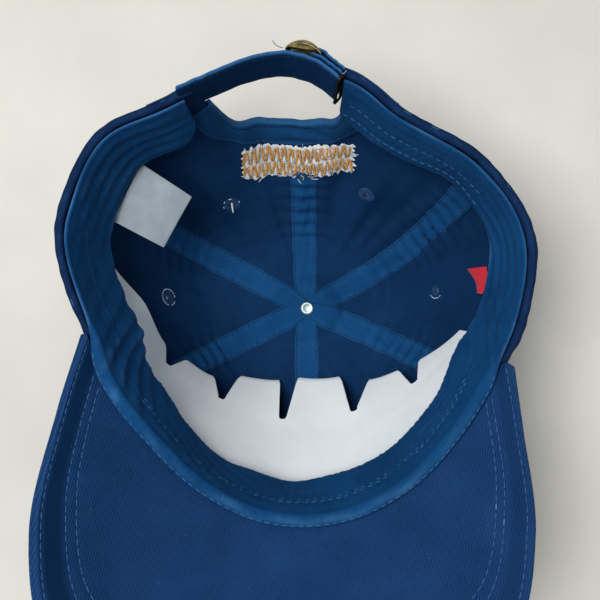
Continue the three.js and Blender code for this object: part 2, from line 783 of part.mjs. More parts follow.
// The card from its hidden edge (share 0) to the tips of its tabs (share 1)
function cardPoint(column, share, depth) {
  const past = Math.max(0, (share - cardFoot) / (1 - cardFoot));
  const tipAngle = column.notch ? column.foot : column.tip;
  const angle = mix(column.foot, tipAngle, past);
  const lean = rimValue(angle, "lean");
  const top = [rimValue(angle, "radius") - cardInset, rimValue(angle, "height") - cardTopDrop];
  const bend = [top[0] - cardBendLean * lean, rimValue(angle, "height") - cardBendDrop];
  const tip = ["reach", "height"].map((name) => alongTable(cardTips, "angle", name, tipAngle));
  bend[1] = Math.max(bend[1], (top[1] + tip[1]) / 2 - cardBendLeast);
  const at = (n) => (1 - share) ** 2 * top[n] + 2 * share * (1 - share) * bend[n] + share ** 2 * tip[n];
  const along = (n) => (1 - share) * (bend[n] - top[n]) + share * (tip[n] - bend[n]);
  const size = Math.hypot(along(0), along(1));
  const radius = at(0) + (depth * along(1)) / size;
  const height = at(1) - (depth * along(0)) / size;
  const turn = radians(angle);
  return new THREE.Vector3(radius * Math.cos(turn), radius * Math.sin(turn), height);
}

function cardGeometry() {
  const columns = cardColumns();
  const last = columns.length - 1;
  return wall(last, cardRows, (u, v, face) => {
    const column = columns[Math.round(u * last)];
    return cardPoint(column, v * (column.notch ? cardFoot : 1), face * cardThick);
  });
}

// The label hangs from under the free edge of the sweatband, towards the button
function labelGeometry() {
  return wall(4, 6, (u, v, face) => {
    const root = bandPoint(mix(labelFrom, labelTo, u), 1, bandThick / 2);
    root.z -= gap + labelThick / 2;
    const inward = new THREE.Vector3(-root.x, -root.y, 0).normalize();
    const reach = Math.sqrt(labelLength ** 2 - labelDrop ** 2);
    const sag = labelDrop * v - labelBow * Math.sin(Math.PI * v);
    return root.addScaledVector(inward, reach * v).add(new THREE.Vector3(0, 0, -sag - face * labelThick));
  });
}

function tagGeometry() {
  const depth = liningDepth + tag.loose;
  return wall(2, 3, (u, v, face) =>
    crownPoint(mix(tag.from, tag.to, u), mix(tag.low, tag.high, v), depth + face * tag.thick),
  );
}

function backingGeometry() {
  return wall(backing.steps, 3, (u, v, face) => {
    const x = mix(backing.left, backing.right, u);
    return backWallPoint(x, mix(backing.low, backing.high, v), liningDepth + face * backing.thick);
  });
}

const cloth = { color: 0x0b2f56, roughness: 0.9, metalness: 0 };
const lightCloth = { color: 0x164a7d, roughness: 0.9, metalness: 0 };
const bandCloth = { color: 0x0c3866, roughness: 0.9, metalness: 0 };
const brass = { color: 0x9b926e, roughness: 0.35, metalness: 1 };
const steel = { color: 0xbbd1d5, roughness: 0.3, metalness: 1 };
const thread = { color: 0x9fb0c0, roughness: 0.8, metalness: 0 };
const card = { color: 0xced6da, roughness: 0.7, metalness: 0 };
const woven = { color: 0xb4bec2, roughness: 0.85, metalness: 0 };
const red = { color: 0xc8243a, roughness: 0.85, metalness: 0 };

const cap = new THREE.Group();

function add(name, geometry, finish, parent = cap) {
  const mesh = new THREE.Mesh(geometry, new THREE.MeshStandardMaterial({ ...finish }));
  mesh.name = name;
  parent.add(mesh);
  return mesh;
}

const wasm = await Module();
wasm.setup();

for (const panel of panels) add(panel.name, panelGeometry(panel), cloth);
for (const name of Object.keys(seams)) add(`tape_${name}`, tapeGeometry(name), lightCloth);
add("sweatband", bandGeometry(), bandCloth);
add("bill_under", billGeometry(0), cloth);
add("bill_upper", billGeometry(billCover + gap), cloth);
add("arch_binding", bindingGeometry(), lightCloth);
add("top_button", buttonGeometry(), cloth);
add("button_rivet", rivetGeometry(), steel);
for (const eyelet of eyelets) {
  placeAlong(add(eyelet.name, eyeletGeometry(), thread), eyeletSeat(eyelet));
}
add("crown_insert", cardGeometry(), card);
add("side_label", labelGeometry(), woven);
add("side_tag", tagGeometry(), red);
add("embroidery_backing", backingGeometry(), woven);

const buckleGroup = new THREE.Group();
buckleGroup.position.set(buckle.x, buckle.y, strapTop - (strapWidth / 2) * Math.cos(radians(strapLean)));
buckleGroup.rotation.set(-radians(strapLean), 0, radians(buckle.turn), "ZXY");
cap.add(buckleGroup);
const longStrap = strapGeometry(longStrapRoute, strapThick, strapSteps.long, longStrapSlant);
add("strap_long", longStrap, cloth, buckleGroup);
add("strap_short", strapGeometry(shortStrapRoute, loopThick, strapSteps.short), cloth, buckleGroup);
add("buckle_frame", uprightRing(buckleWidth, frameHeight, barWidth, frameThick, 2), brass, buckleGroup);
add("buckle_cover", coverGeometry(), brass, buckleGroup);
const slotGeometry = uprightRing(tuckSlot.width, tuckSlot.height, tuckSlot.wall, tuckSlot.thick, 1.8);
const slot = add("tuck_slot", slotGeometry, brass, buckleGroup);
slot.position.set(tuckSlot.along, tuckSlot.out, 0);
slot.rotation.z = radians(tuckSlot.turn + 90);

export default cap;
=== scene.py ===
import math
import bmesh
import bpy
import numpy as np
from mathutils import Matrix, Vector


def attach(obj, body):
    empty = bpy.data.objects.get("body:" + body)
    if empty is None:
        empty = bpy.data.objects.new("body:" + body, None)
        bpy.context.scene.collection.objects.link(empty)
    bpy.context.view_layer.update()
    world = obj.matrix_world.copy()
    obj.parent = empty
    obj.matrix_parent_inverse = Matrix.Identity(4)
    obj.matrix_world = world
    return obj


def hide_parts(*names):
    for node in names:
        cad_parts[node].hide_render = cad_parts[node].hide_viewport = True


# A navy cotton cap lying upside down on its crown. Lengths here are millimetres, angles are degrees
# round the button from +X towards +Y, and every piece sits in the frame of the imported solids.
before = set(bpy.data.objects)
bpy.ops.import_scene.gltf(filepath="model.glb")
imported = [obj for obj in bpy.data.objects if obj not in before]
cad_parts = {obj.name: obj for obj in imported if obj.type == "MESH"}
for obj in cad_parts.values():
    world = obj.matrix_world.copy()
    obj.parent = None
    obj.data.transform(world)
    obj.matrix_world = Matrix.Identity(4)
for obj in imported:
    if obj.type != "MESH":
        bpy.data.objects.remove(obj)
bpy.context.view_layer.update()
mm = 0.001
print("frame loaded")

camera = {"x": -3.4, "y": 3.9, "height": 453.0, "pictureSide": 600, "pixelsAtOneHeight": 929, "sensor": 36.0}


def makeCamera():
    data = bpy.data.cameras.new("camera")
    data.sensor_width = camera["sensor"]
    data.lens = camera["sensor"] * camera["pixelsAtOneHeight"] / camera["pictureSide"]
    data.clip_start = 0.01
    made = bpy.data.objects.new("camera", data)
    made.location = Vector((camera["x"], camera["y"], camera["height"])) * mm  # straight down, +Y at the top
    bpy.context.scene.collection.objects.link(made)
    bpy.context.scene.camera = made


makeCamera()


# Plain number helpers, all for arrays
def ease(value, low=0.0, high=1.0):
    t = np.clip((np.asarray(value, float) - low) / (high - low), 0, 1)
    return t * t * (3 - 2 * t)


def blend(a, b, t):
    return a + (b - a) * t


def hump(value, middle, width):
    return np.exp(-(((np.asarray(value, float) - middle) / width) ** 2))


def degCos(angle):
    return np.cos(np.radians(angle))


def around(radius, turn, height):
    return np.stack([radius * np.cos(turn), radius * np.sin(turn), height], -1)


def clothMap(across, up):
    return lambda u, v: np.stack([u * across, v * up], -1)


def unit(vectors):
    return vectors / np.maximum(np.linalg.norm(vectors, axis=-1, keepdims=True), 1e-12)


def uneven(a, b, seed, spread=1.0):
    # Soft uneven waves from -1 to 1 over two directions, the same on every run
    chance = np.random.default_rng(seed)
    waves, calm = 6, 0.62
    total = 0.0
    for _ in range(waves):
        turn = chance.uniform(0, math.tau)
        size = chance.uniform(0.6, 1.7)
        lean = chance.uniform(-spread, spread)
        total = total + np.sin(size * (np.asarray(a) + lean * np.asarray(b)) + turn)
    return total / (waves * calm)


def tableCurve(places, values, at):
    # A smooth curve through a table that never passes beyond its rows
    x, y = np.array(places, float), np.array(values, float)
    slope = np.diff(y) / np.diff(x)
    tangent = np.empty(len(x))
    tangent[0], tangent[-1] = slope[0], slope[-1]
    before, after = slope[:-1], slope[1:]
    both = np.where(before + after == 0, 1, before + after)
    tangent[1:-1] = np.where(before * after <= 0, 0, 2 * before * after / both)
    at = np.asarray(at, float)
    row = np.clip(np.searchsorted(x, at) - 1, 0, len(x) - 2)
    width = x[row + 1] - x[row]
    t = np.clip((at - x[row]) / width, 0, 1)
    bend = width * t * (1 - t) * ((1 - t) * tangent[row] - t * tangent[row + 1])
    return blend(y[row], y[row + 1], t * t * (3 - 2 * t)) + bend


def smoothRoute(points):
    # Points along a smooth route through the given ones, and a function of the share of its length
    p = np.array(points, float)
    p = np.vstack([2 * p[0] - p[1], p, 2 * p[-1] - p[-2]])
    line = []
    for n in range(1, len(p) - 2):
        a, b, c, d = p[n - 1:n + 3]
        ab, bc, cd = (np.sqrt(np.linalg.norm(q)) for q in (b - a, c - b, d - c))
        start = ((b - a) / ab - (c - a) / (ab + bc) + (c - b) / bc) * bc
        end = ((c - b) / bc - (d - b) / (bc + cd) + (d - c) / cd) * bc
        t = np.linspace(0, 1, 60, endpoint=False)[:, None]
        line.append(
            b * (2 * t**3 - 3 * t**2 + 1) + start * (t**3 - 2 * t**2 + t)
            + c * (3 * t**2 - 2 * t**3) + end * (t**3 - t**2)
        )
    line = np.vstack([*line, p[-2:-1]])
    far = np.concatenate([[0], np.cumsum(np.linalg.norm(np.diff(line, axis=0), axis=1))])

    def at(share):
        share = np.asarray(share, float)
        return np.stack([np.interp(share * far[-1], far, line[:, k]) for k in range(line.shape[1])], -1)

    def along(share):
        share, step = np.asarray(share), 0.002
        return unit(at(np.clip(share + step, 0, 1)) - at(np.clip(share - step, 0, 1)))

    return at, along, far[-1]


# The crown
rim = {  # every 20 degrees from +X: radius, height, and how far the sweatband's free edge leans in
    "step": 20,
    "radius": (
        84.9, 91.5, 89.3, 85.4, 93, 97.5, 98, 105, 102.8,
        89.6, 85.3, 82.5, 84.7, 87.2, 86.2, 82.4, 78.4, 78.8,
    ),
    "height": (94, 95, 96, 96, 96, 96, 96, 97, 98, 100, 98, 93, 89, 86.5, 86, 87.5, 91, 93),
    "lean": (11.6, 8, 7.3, 8.4, 10.5, 10, 10, 12.5, 13, 14.1, 14.5, 11, 10.5, 12, 13, 12, 11, 13),
}
rimCorners = (  # small corners and flats of the worn rim
    {"angle": 68, "wide": 7, "out": -1.5},
    {"angle": 128, "wide": 7, "out": -1.5},
    {"angle": 141, "wide": 6, "out": 1.0},
    {"angle": 155, "wide": 6, "out": -0.9},
    {"angle": 187, "wide": 6, "out": -1.2},
)
crown = {
    "wall": 1.2,
    "puff": 1.3,
    "puckerDeep": 0.42,  # small gathers beside each seam
    "puckerEvery": 7.5,
    "puckerWide": 9,
    "slackDeep": 1.15,  # large soft waves of the wall
    "rayDeep": 0.75,  # fine drapes that run down from the button
    "restDeep": 0.55,  # cloth on the surface can only lift
    "moundHigh": 2.6,
    "moundFrom": 9.6,
    "moundTo": 17,
    "billSeat": 4.3,
    "seamLine": 0.12,
    "columnsPerDegree": 0.95,
    "rows": 112,
    "rowFrom": 0.014,
    "lengthUp": 152,
}
sections = {
    "side": {
        "at": (0, 0.3, 0.4, 0.54, 0.68, 0.8, 0.9, 1),
        "reach": (0, 0.52, 0.64, 0.78, 0.9, 0.985, 1.02, 1),
        "rise": (0, 0, 0.07, 0.25, 0.46, 0.66, 0.83, 1),
    },
    "front": {
        "at": (0, 0.3, 0.4, 0.54, 0.68, 0.8, 0.9, 1),
        "reach": (0, 0.54, 0.645, 0.76, 0.865, 0.945, 0.985, 1),
        "rise": (0, 0, 0.075, 0.25, 0.46, 0.66, 0.83, 1),
    },
    "back": {
        "at": (0, 0.19, 0.3, 0.4, 0.54, 0.68, 0.8, 0.9, 1),
        "reach": (0, 0.32, 0.46, 0.575, 0.7, 0.835, 0.895, 0.95, 1),
        "rise": (0, 0, 0.08, 0.21, 0.355, 0.515, 0.69, 0.845, 1),
    },
}
folds = (
    {"angle": 142, "wide": 8, "rise": 0.75, "tall": 0.35, "out": 1.8},
    {"angle": 126, "wide": 9, "rise": 0.6, "tall": 0.3, "out": -2.2},
    {"angle": 172, "wide": 10, "rise": 0.55, "tall": 0.25, "out": 2.4},
    {"angle": 17, "wide": 14, "rise": 0.62, "tall": 0.28, "out": 2.2},
    {"angle": 53, "wide": 11, "rise": 0.5, "tall": 0.25, "out": -1.2},
    {"angle": 240, "wide": 12, "rise": 0.5, "tall": 0.25, "out": 1.5},
    {"angle": 305, "wide": 12, "rise": 0.5, "tall": 0.25, "out": 1.5},
)
seams = {  # direction at the button and at the rim
    "right_back": (25, 41),
    "back": (92, 91),
    "left_back": (152, 151),
    "left_front": (206, 208),
    "front": (270, 270),
    "right_front": (338, 335),
}
panels = (
    ("panel_back_right", "right_back", "back"),
    ("panel_back_left", "back", "left_back"),
    ("panel_side_left", "left_back", "left_front"),
    ("panel_front_left", "left_front", "front"),
    ("panel_front_right", "front", "right_front"),
    ("panel_side_right", "right_front", "right_back"),
)
bill = {
    "from": 186,
    "to": 345,
    "cover": 1.8,
    "inset": 1.5,
    "level": 71,
    "slope": 0.2,
    "halfWidth": 85,
    "rollLeft": 27,
    "rollRight": 20,
    "rollPower": 2.2,
    "outline": (
        (-85.6, -9), (-92.2, -38), (-98.3, -80), (-89, -122), (-54, -147), (-6, -155),
        (41, -147), (74, -123), (83.7, -84), (81.2, -45), (79.2, -21.8),
    ),
}


def rimValue(angle, column):
    values = np.array(rim[column], float)
    place = np.mod(angle, 360) / rim["step"]
    row = np.floor(place).astype(int)
    t = place - row
    a, b, c, d = (values[(row + n) % len(values)] for n in (-1, 0, 1, 2))
    bend = (2 * a - 5 * b + 4 * c - d) * t * t + (3 * b - a - 3 * c + d) * t**3
    value = 0.5 * (2 * b + (c - a) * t + bend)
    if column == "radius":
        for corner in rimCorners:
            away = np.mod(angle - corner["angle"] + 180, 360) - 180
            value = value + corner["out"] * hump(away, 0, corner["wide"])
    return value


def seamAngle(name, at):
    return blend(seams[name][0], seams[name][1], at)


def acrossPanel(angle, at):
    # Share of the way across its panel, and the panel's width in degrees
    share = np.zeros(np.broadcast(angle, at).shape)
    width = np.ones(share.shape)
    for _, start, end in panels:
        first = seamAngle(start, at)
        wide = np.mod(seamAngle(end, at) - first, 360)
        into = np.mod(angle - first, 360)
        inside = into <= wide
        share = np.where(inside, into / wide, share)
        width = np.where(inside, wide, width)
    return share, width


def underBill(angle):
    turn = np.mod(angle, 360)
    return ease(turn, bill["from"] - 7, bill["from"] - 2) * (1 - ease(turn, bill["to"] + 2, bill["to"] + 7))


def crownOuter(angle, at):
    angle, at = np.broadcast_arrays(np.asarray(angle, float), np.asarray(at, float))
    front = np.maximum(0, degCos(angle - 270)) ** 1.5
    back = np.maximum(0, degCos(angle - 95)) ** 3.5
    shares = {"front": front, "back": back, "side": 1 - front - back}

    def column(name):
        curves = ((share, sections[key]) for key, share in shares.items())
        return sum(share * tableCurve(section["at"], section[name], at) for share, section in curves)

    rise = column("rise")
    radius = column("reach") * rimValue(angle, "radius")
    onWall = ease(rise, 0.03, 0.3) * (1 - ease(rise, 0.8, 1))
    share, _ = acrossPanel(angle, at)
    radius = radius + crown["puff"] * onWall * np.sin(np.pi * share) ** 2
    for fold in folds:
        aside = (np.mod(angle - fold["angle"] + 180, 360) - 180) / fold["wide"]
        above = (rise - fold["rise"]) / fold["tall"]
        radius = radius + fold["out"] * onWall * np.exp(-aside * aside - above * above)
    height = rimValue(angle, "height") - crown["billSeat"] * underBill(angle)
    mound = crown["moundHigh"] * (1 - ease(radius, crown["moundFrom"], crown["moundTo"]))
    return around(radius, np.radians(angle), rise * height + mound)


def gathers(angle, at):
    # How far the cloth falls in from its even shape: gathers beside seams, slack waves and drapes
    share, wide = acrossPanel(angle, at)
    up = at * crown["lengthUp"]
    aside = np.minimum(share, 1 - share) * np.radians(wide) * np.maximum(20, 95 * at)
    beside = np.exp(-((aside / crown["puckerWide"]) ** 2)) * ease(at, 0.12, 0.25)
    turn = np.radians(angle)
    wander = 1.6 * uneven(turn * 4, up / 16, 3)
    pucker = crown["puckerDeep"] * beside * np.sin(math.tau * up / crown["puckerEvery"] + wander)
    slack = crown["slackDeep"] * uneven(turn * 13 + 0.03 * up, up / 18, 11) * ease(at, 0.2, 0.42)
    rays = crown["rayDeep"] * uneven(turn * 24, up / 40, 7, 0.4) * ease(at, 0.12, 0.35)
    rays = rays * (1 - ease(at, 0.75, 0.95))
    free = ease(at, 0.26, 0.5) * (1 - ease(at, 0.9, 1))
    resting = crown["restDeep"] * (1 - ease(at, 0.3, 0.45))
    return (pucker + slack * free + rays * (1 - ease(at, 0.9, 1))) * (1 - ease(at, 0.94, 1)) + resting


def crownPoint(angle, at, depth=0.0, even=False):
    angle, at = np.broadcast_arrays(np.asarray(angle, float), np.asarray(at, float))
    point = crownOuter(angle, at)
    step = 0.004
    across = crownOuter(angle + 0.5, at) - crownOuter(angle - 0.5, at)
    up = crownOuter(angle, np.minimum(1, at + step)) - crownOuter(angle, np.maximum(0, at - step))
    outward = unit(np.cross(across, up))
    inward = np.asarray(depth, float) + (0 if even else gathers(angle, at))
    place = point - outward * np.expand_dims(np.broadcast_to(inward, angle.shape), -1)
    place[..., 2] = np.maximum(place[..., 2], 0.05)  # the cloth lies flat where it meets the surface
    return place


def findAt(angle, value, measure):
    low, high = np.zeros(np.shape(angle)), np.full(np.shape(angle), 0.97)
    for _ in range(18):  # halves the stretch each time
        middle = (low + high) / 2
        under = measure(crownOuter(angle, middle)) < value
        low, high = np.where(under, middle, low), np.where(under, high, middle)
    return (low + high) / 2


def atRadius(angle, radius):
    return findAt(angle, radius, lambda p: np.hypot(p[..., 0], p[..., 1]))


def atHeight(angle, height):
    return findAt(angle, height, lambda p: p[..., 2] + 1e-3 * np.hypot(p[..., 0], p[..., 1]))


def backWallPlace(x, z):
    # Direction and share of the section at a place of the back wall, seen from behind
    x, z = np.broadcast_arrays(np.asarray(x, float), np.asarray(z, float))
    angle = 90 - x * 0.6
    for _ in range(6):
        at = atHeight(angle, z)
        point = crownOuter(angle, at)
        angle = np.degrees(np.arccos(np.clip(x / np.hypot(point[..., 0], point[..., 1]), -1, 1)))
    return angle, at


# Meshes from grids of points
def makeObject(name, points, faces, paint, nodes=(), uv=None, wearAndShade=None):
    mesh = bpy.data.meshes.new(name)
    faces = faces.tolist() if isinstance(faces, np.ndarray) else faces
    mesh.from_pydata((np.asarray(points, float) * mm).tolist(), [], faces)
    mesh.validate()
    mesh.polygons.foreach_set("use_smooth", np.ones(len(mesh.polygons), bool))
    corners = np.zeros(len(mesh.loops), np.int32)
    mesh.loops.foreach_get("vertex_index", corners)
    flat = np.zeros((len(points), 2)) if uv is None else np.asarray(uv, float)
    mesh.uv_layers.new(name="cloth").data.foreach_set("uv", flat[corners].astype(np.float32).ravel())
    worn = np.zeros(len(points)) if wearAndShade is None else np.asarray(wearAndShade, float)
    # the wear value: paler wear above zero, and below zero a darker colour that also carries painted shade on
    # the bill
    mesh.attributes.new("wearAndShade", "FLOAT", "POINT").data.foreach_set("value", worn.astype(np.float32))
    mesh.materials.append(paint)
    made = bpy.data.objects.new(name, mesh)
    bpy.context.scene.collection.objects.link(made)
    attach(made, "root")
    if nodes:
        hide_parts(*nodes)
    return made


def volumeOf(points, quads):
    p = np.asarray(points)
    total = 0.0
    for a, b, c in ((0, 1, 2), (0, 2, 3)):
        total += np.einsum("ij,ij->i", p[quads[:, a]], np.cross(p[quads[:, b]], p[quads[:, c]])).sum()
    return total


def clothWall(name, across, up, pointAt, paint, nodes=(), uvAt=None, wearAndShadeAt=None, soften=0.45):
    # A closed sheet: pointAt(u, v, face) for u and v from 0 to 1 and face 0 or 1, with a rounded edge
    u, v = np.meshgrid(np.linspace(0, 1, across + 1), np.linspace(0, 1, up + 1))
    grids = [pointAt(u, v, face) for face in (0, 1)]
    flat = np.stack([u * 10, v * 10], -1) if uvAt is None else uvAt(u, v)
    worn = np.zeros(u.shape) if wearAndShadeAt is None else wearAndShadeAt(u, v)
    size = u.size
    index = np.arange(size).reshape(u.shape)
    square = np.stack([index[:-1, :-1], index[:-1, 1:], index[1:, 1:], index[1:, :-1]], -1).reshape(-1, 4)
    loop = np.concatenate([index[0, :-1], index[:-1, -1], index[-1, :0:-1], index[:0:-1, 0]])
    inner = np.clip(np.stack([loop // u.shape[1], loop % u.shape[1]], -1), 1, [up - 1, across - 1])
    inner = inner[:, 0] * u.shape[1] + inner[:, 1]
    first, second = (g.reshape(-1, 3) for g in grids)
    away = unit(first[loop] - first[inner])
    thick = np.linalg.norm(second[loop] - first[loop], axis=-1, keepdims=True)
    edgeRound = ((0.18, 0.75), (0.5, 1), (0.82, 0.75))  # share of the thickness, and how far out
    rings = [blend(first[loop], second[loop], t) + away * thick * soften * s for t, s in edgeRound]
    points = np.vstack([first, second, *rings])
    count = len(loop)
    rows = [loop, *(np.arange(count) + 2 * size + n * count for n in range(3)), loop + size]
    quads = [square[:, ::-1], square + size]
    for a, b in zip(rows[:-1], rows[1:]):
        quads.append(np.stack([a, np.roll(a, -1), np.roll(b, -1), b], -1))
    quads = np.vstack(quads)
    if volumeOf(points, quads) < 0:
        quads = quads[:, ::-1]
    edge = [flat.reshape(-1, 2)[loop]] * 3
    uv = np.vstack([flat.reshape(-1, 2), flat.reshape(-1, 2), *edge])
    wearAndShade = np.concatenate([worn.ravel(), worn.ravel(), *([worn.ravel()[loop] + 0.25] * 3)])
    made = makeObject(name, points, quads, paint, nodes, uv, wearAndShade)
    made["flat"] = flatSize(grids[1])
    return made


def flatSize(grid):
    # Widest, longest and area of a grid of points laid out flat, in metres
    wide = np.linalg.norm(np.diff(grid, axis=1), axis=-1).sum(1).max()
    tall = np.linalg.norm(np.diff(grid, axis=0), axis=-1).sum(0).max()
    a, b = grid[1:, :-1] - grid[:-1, :-1], grid[:-1, 1:] - grid[:-1, :-1]
    area = np.linalg.norm(np.cross(a, b), axis=-1).sum()
    return [float(wide * mm), float(tall * mm), float(min(area, wide * tall) * mm * mm)]


def sheetOf(piece):
    del piece["flat"]
    return piece


def carried(name, stations, section, pointAt, paint, nodes, uvAt, wearAndShadeAt):
    # A closed section carried along stations, with flat ends
    count = len(section)
    t, n = np.meshgrid(np.linspace(0, 1, stations), np.arange(count), indexing="ij")
    corner = np.array(section, float)[n]
    points = pointAt(t, corner).reshape(-1, 3)
    index = np.arange(stations * count).reshape(stations, count)
    side = np.roll(index, -1, axis=1)
    quads = np.stack([index[:-1], side[:-1], side[1:], index[1:]], -1).reshape(-1, 4)
    if volumeOf(points, quads) < 0:
        quads = quads[:, ::-1]
        caps = [index[0].tolist(), index[-1][::-1].tolist()]
    else:
        caps = [index[0][::-1].tolist(), index[-1].tolist()]
    flat, worn = uvAt(t, corner).reshape(-1, 2), wearAndShadeAt(t, corner).ravel()
    return makeObject(name, points, quads.tolist() + caps, paint, nodes, flat, worn)


def turned(name, profile, sides, seatAt, paint, nodes=()):
    # A turned body. profile is (radius, height) from axis to axis, and seatAt places its points
    profile = np.array(profile, float)
    angle = np.arange(sides) * math.tau / sides
    ring = around(profile[:, :1], angle, np.repeat(profile[:, 1:], sides, 1))
    points = [ring[0].mean(0), *ring[1:-1].reshape(-1, 3), ring[-1].mean(0)]
    count = len(profile) - 2
    faces = []
    for k in range(sides):
        j = (k + 1) % sides
        faces.append([0, 1 + j, 1 + k])
        for n in range(count - 1):
            a = 1 + n * sides
            faces.append([a + k, a + j, a + sides + j, a + sides + k])
        last = 1 + (count - 1) * sides
        faces.append([last + k, last + j, len(points) - 1])
    uv = np.array(points)[:, :2]
    made = makeObject(name, seatAt(np.array(points)), faces, paint, nodes, uv)
    faceOut(made)
    return made


def faceOut(piece):
    body = bmesh.new()
    body.from_mesh(piece.data)
    bmesh.ops.recalc_face_normals(body, faces=body.faces)
    body.to_mesh(piece.data)
    body.free()


def applied(piece, *modifiers):
    # Runs modifiers given as (kind, settings) and keeps their result as the mesh
    for kind, settings in modifiers:
        added = piece.modifiers.new(kind.lower(), kind)
        for key, value in settings.items():
            setattr(added, key, value)
    graph = bpy.context.evaluated_depsgraph_get()
    result = bpy.data.meshes.new_from_object(piece.evaluated_get(graph))
    piece.modifiers.clear()
    old = piece.data
    piece.data = result
    bpy.data.meshes.remove(old)
    return piece


# Threads: every row of stitches or loose thread is an array of small rounded bodies, joined
def threadMesh(name, starts, ends, normals, thick, paint, rise):
    starts, ends, normals = (np.asarray(a, float) for a in (starts, ends, normals))
    sides = 6
    axis = ends - starts
    along = unit(axis)
    side = unit(np.cross(normals, along))
    up = np.cross(along, side)
    places = np.array([-0.02, 0.1, 0.35, 0.65, 0.9, 1.02])
    fat = np.array([0.42, 0.9, 1.0, 1.0, 0.9, 0.42])
    lift = np.array([-0.5, 0.35, 1.0, 1.0, 0.35, -0.5]) * rise
    turn = np.arange(sides) * math.tau / sides
    thick = np.broadcast_to(np.asarray(thick, float), len(starts))[:, None, None, None]
    middle = starts[:, None, :] + axis[:, None, :] * places[None, :, None]
    middle = middle + up[:, None, :] * (lift[None, :, None] * thick[:, 0])
    cos, sin = (f(turn)[None, None, :, None] for f in (np.cos, np.sin))
    ring = side[:, None, None] * cos + up[:, None, None] * sin
    points = middle[:, :, None, :] + ring * fat[None, :, None, None] * thick / 2
    each = len(places) * sides
    index = np.arange(each).reshape(len(places), sides)
    beside = np.roll(index, -1, axis=1)
    quads = np.stack([index[:-1], beside[:-1], beside[1:], index[1:]], -1).reshape(-1, 4)
    shift = np.arange(len(starts))[:, None, None] * each
    faces = (quads[None] + shift).reshape(-1, 4).tolist()
    faces += (index[0][::-1][None] + shift[:, 0]).tolist() + (index[-1][None] + shift[:, 0]).tolist()
    uv = np.tile(np.stack([np.repeat(places, sides) * 2, np.tile(turn, len(places))], -1), (len(starts), 1))
    return makeObject(name, points.reshape(-1, 3), faces, paint, (), uv)


def stitchesOn(surface, us, vs, long, every, lift=0.0, wobble=0.0, seed=5):
    # Starts, ends and normals of stitches along a line on a surface(u, v, depth)
    inner, outer = surface(us, vs, lift), surface(us, vs, lift + 1.0)
    far = np.concatenate([[0], np.cumsum(np.linalg.norm(np.diff(inner, axis=0), axis=-1))])
    chance = np.random.default_rng(seed)
    places = np.arange(every / 2, far[-1] - long, every)
    places = places + chance.uniform(-0.5, 0.5, len(places)) * wobble

    def at(values, where):
        return np.stack([np.interp(where, far, values[:, k]) for k in range(3)], -1)

    normal = unit(outer - inner)
    return at(inner, places), at(inner, places + long), at(normal, places + long / 2)


sewing = {"long": 2.2, "every": 3.1}  # one stitch and the step to the next, on small parts


def joinRows(rows):
    return [np.vstack([row[n] for row in rows]) for n in range(3)]


# Shader maths reads as sums on sockets
class Wire:
    def __init__(self, paint, socket):
        self.paint, self.socket = paint, socket

    def sum(self, operation, a, b):
        kinds = [w.socket.type for w in (a, b) if isinstance(w, Wire)]
        kind = next((k for k in kinds if k != "VALUE"), "VALUE")
        if kind == "RGBA":
            settings = {"data_type": "RGBA", "blend_type": operation}
            return self.paint.node("Mix", settings, {0: 1.0, 6: a, 7: b}, 2)
        kind = "VectorMath" if kind == "VECTOR" else "Math"
        return self.paint.node(kind, {"operation": operation}, {0: a, 1: b})

    def __add__(self, other):
        return self.sum("ADD", self, other)

    def __radd__(self, other):
        return self.sum("ADD", other, self)

    def __mul__(self, other):
        return self.sum("MULTIPLY", self, other)

    def __rmul__(self, other):
        return self.sum("MULTIPLY", other, self)

    def between(self, low, high):
        limits = {"From Min": low, "From Max": high, "To Min": 0.0, "To Max": 1.0}
        return self.paint.node("MapRange", {"interpolation_type": "SMOOTHSTEP"}, {"Value": self, **limits})


def colour(code):
    # A linear colour from a six-figure screen colour
    parts = [int(code[n:n + 2], 16) / 255 for n in (0, 2, 4)]
    return [p / 12.92 if p <= 0.04045 else ((p + 0.055) / 1.055) ** 2.4 for p in parts] + [1.0]


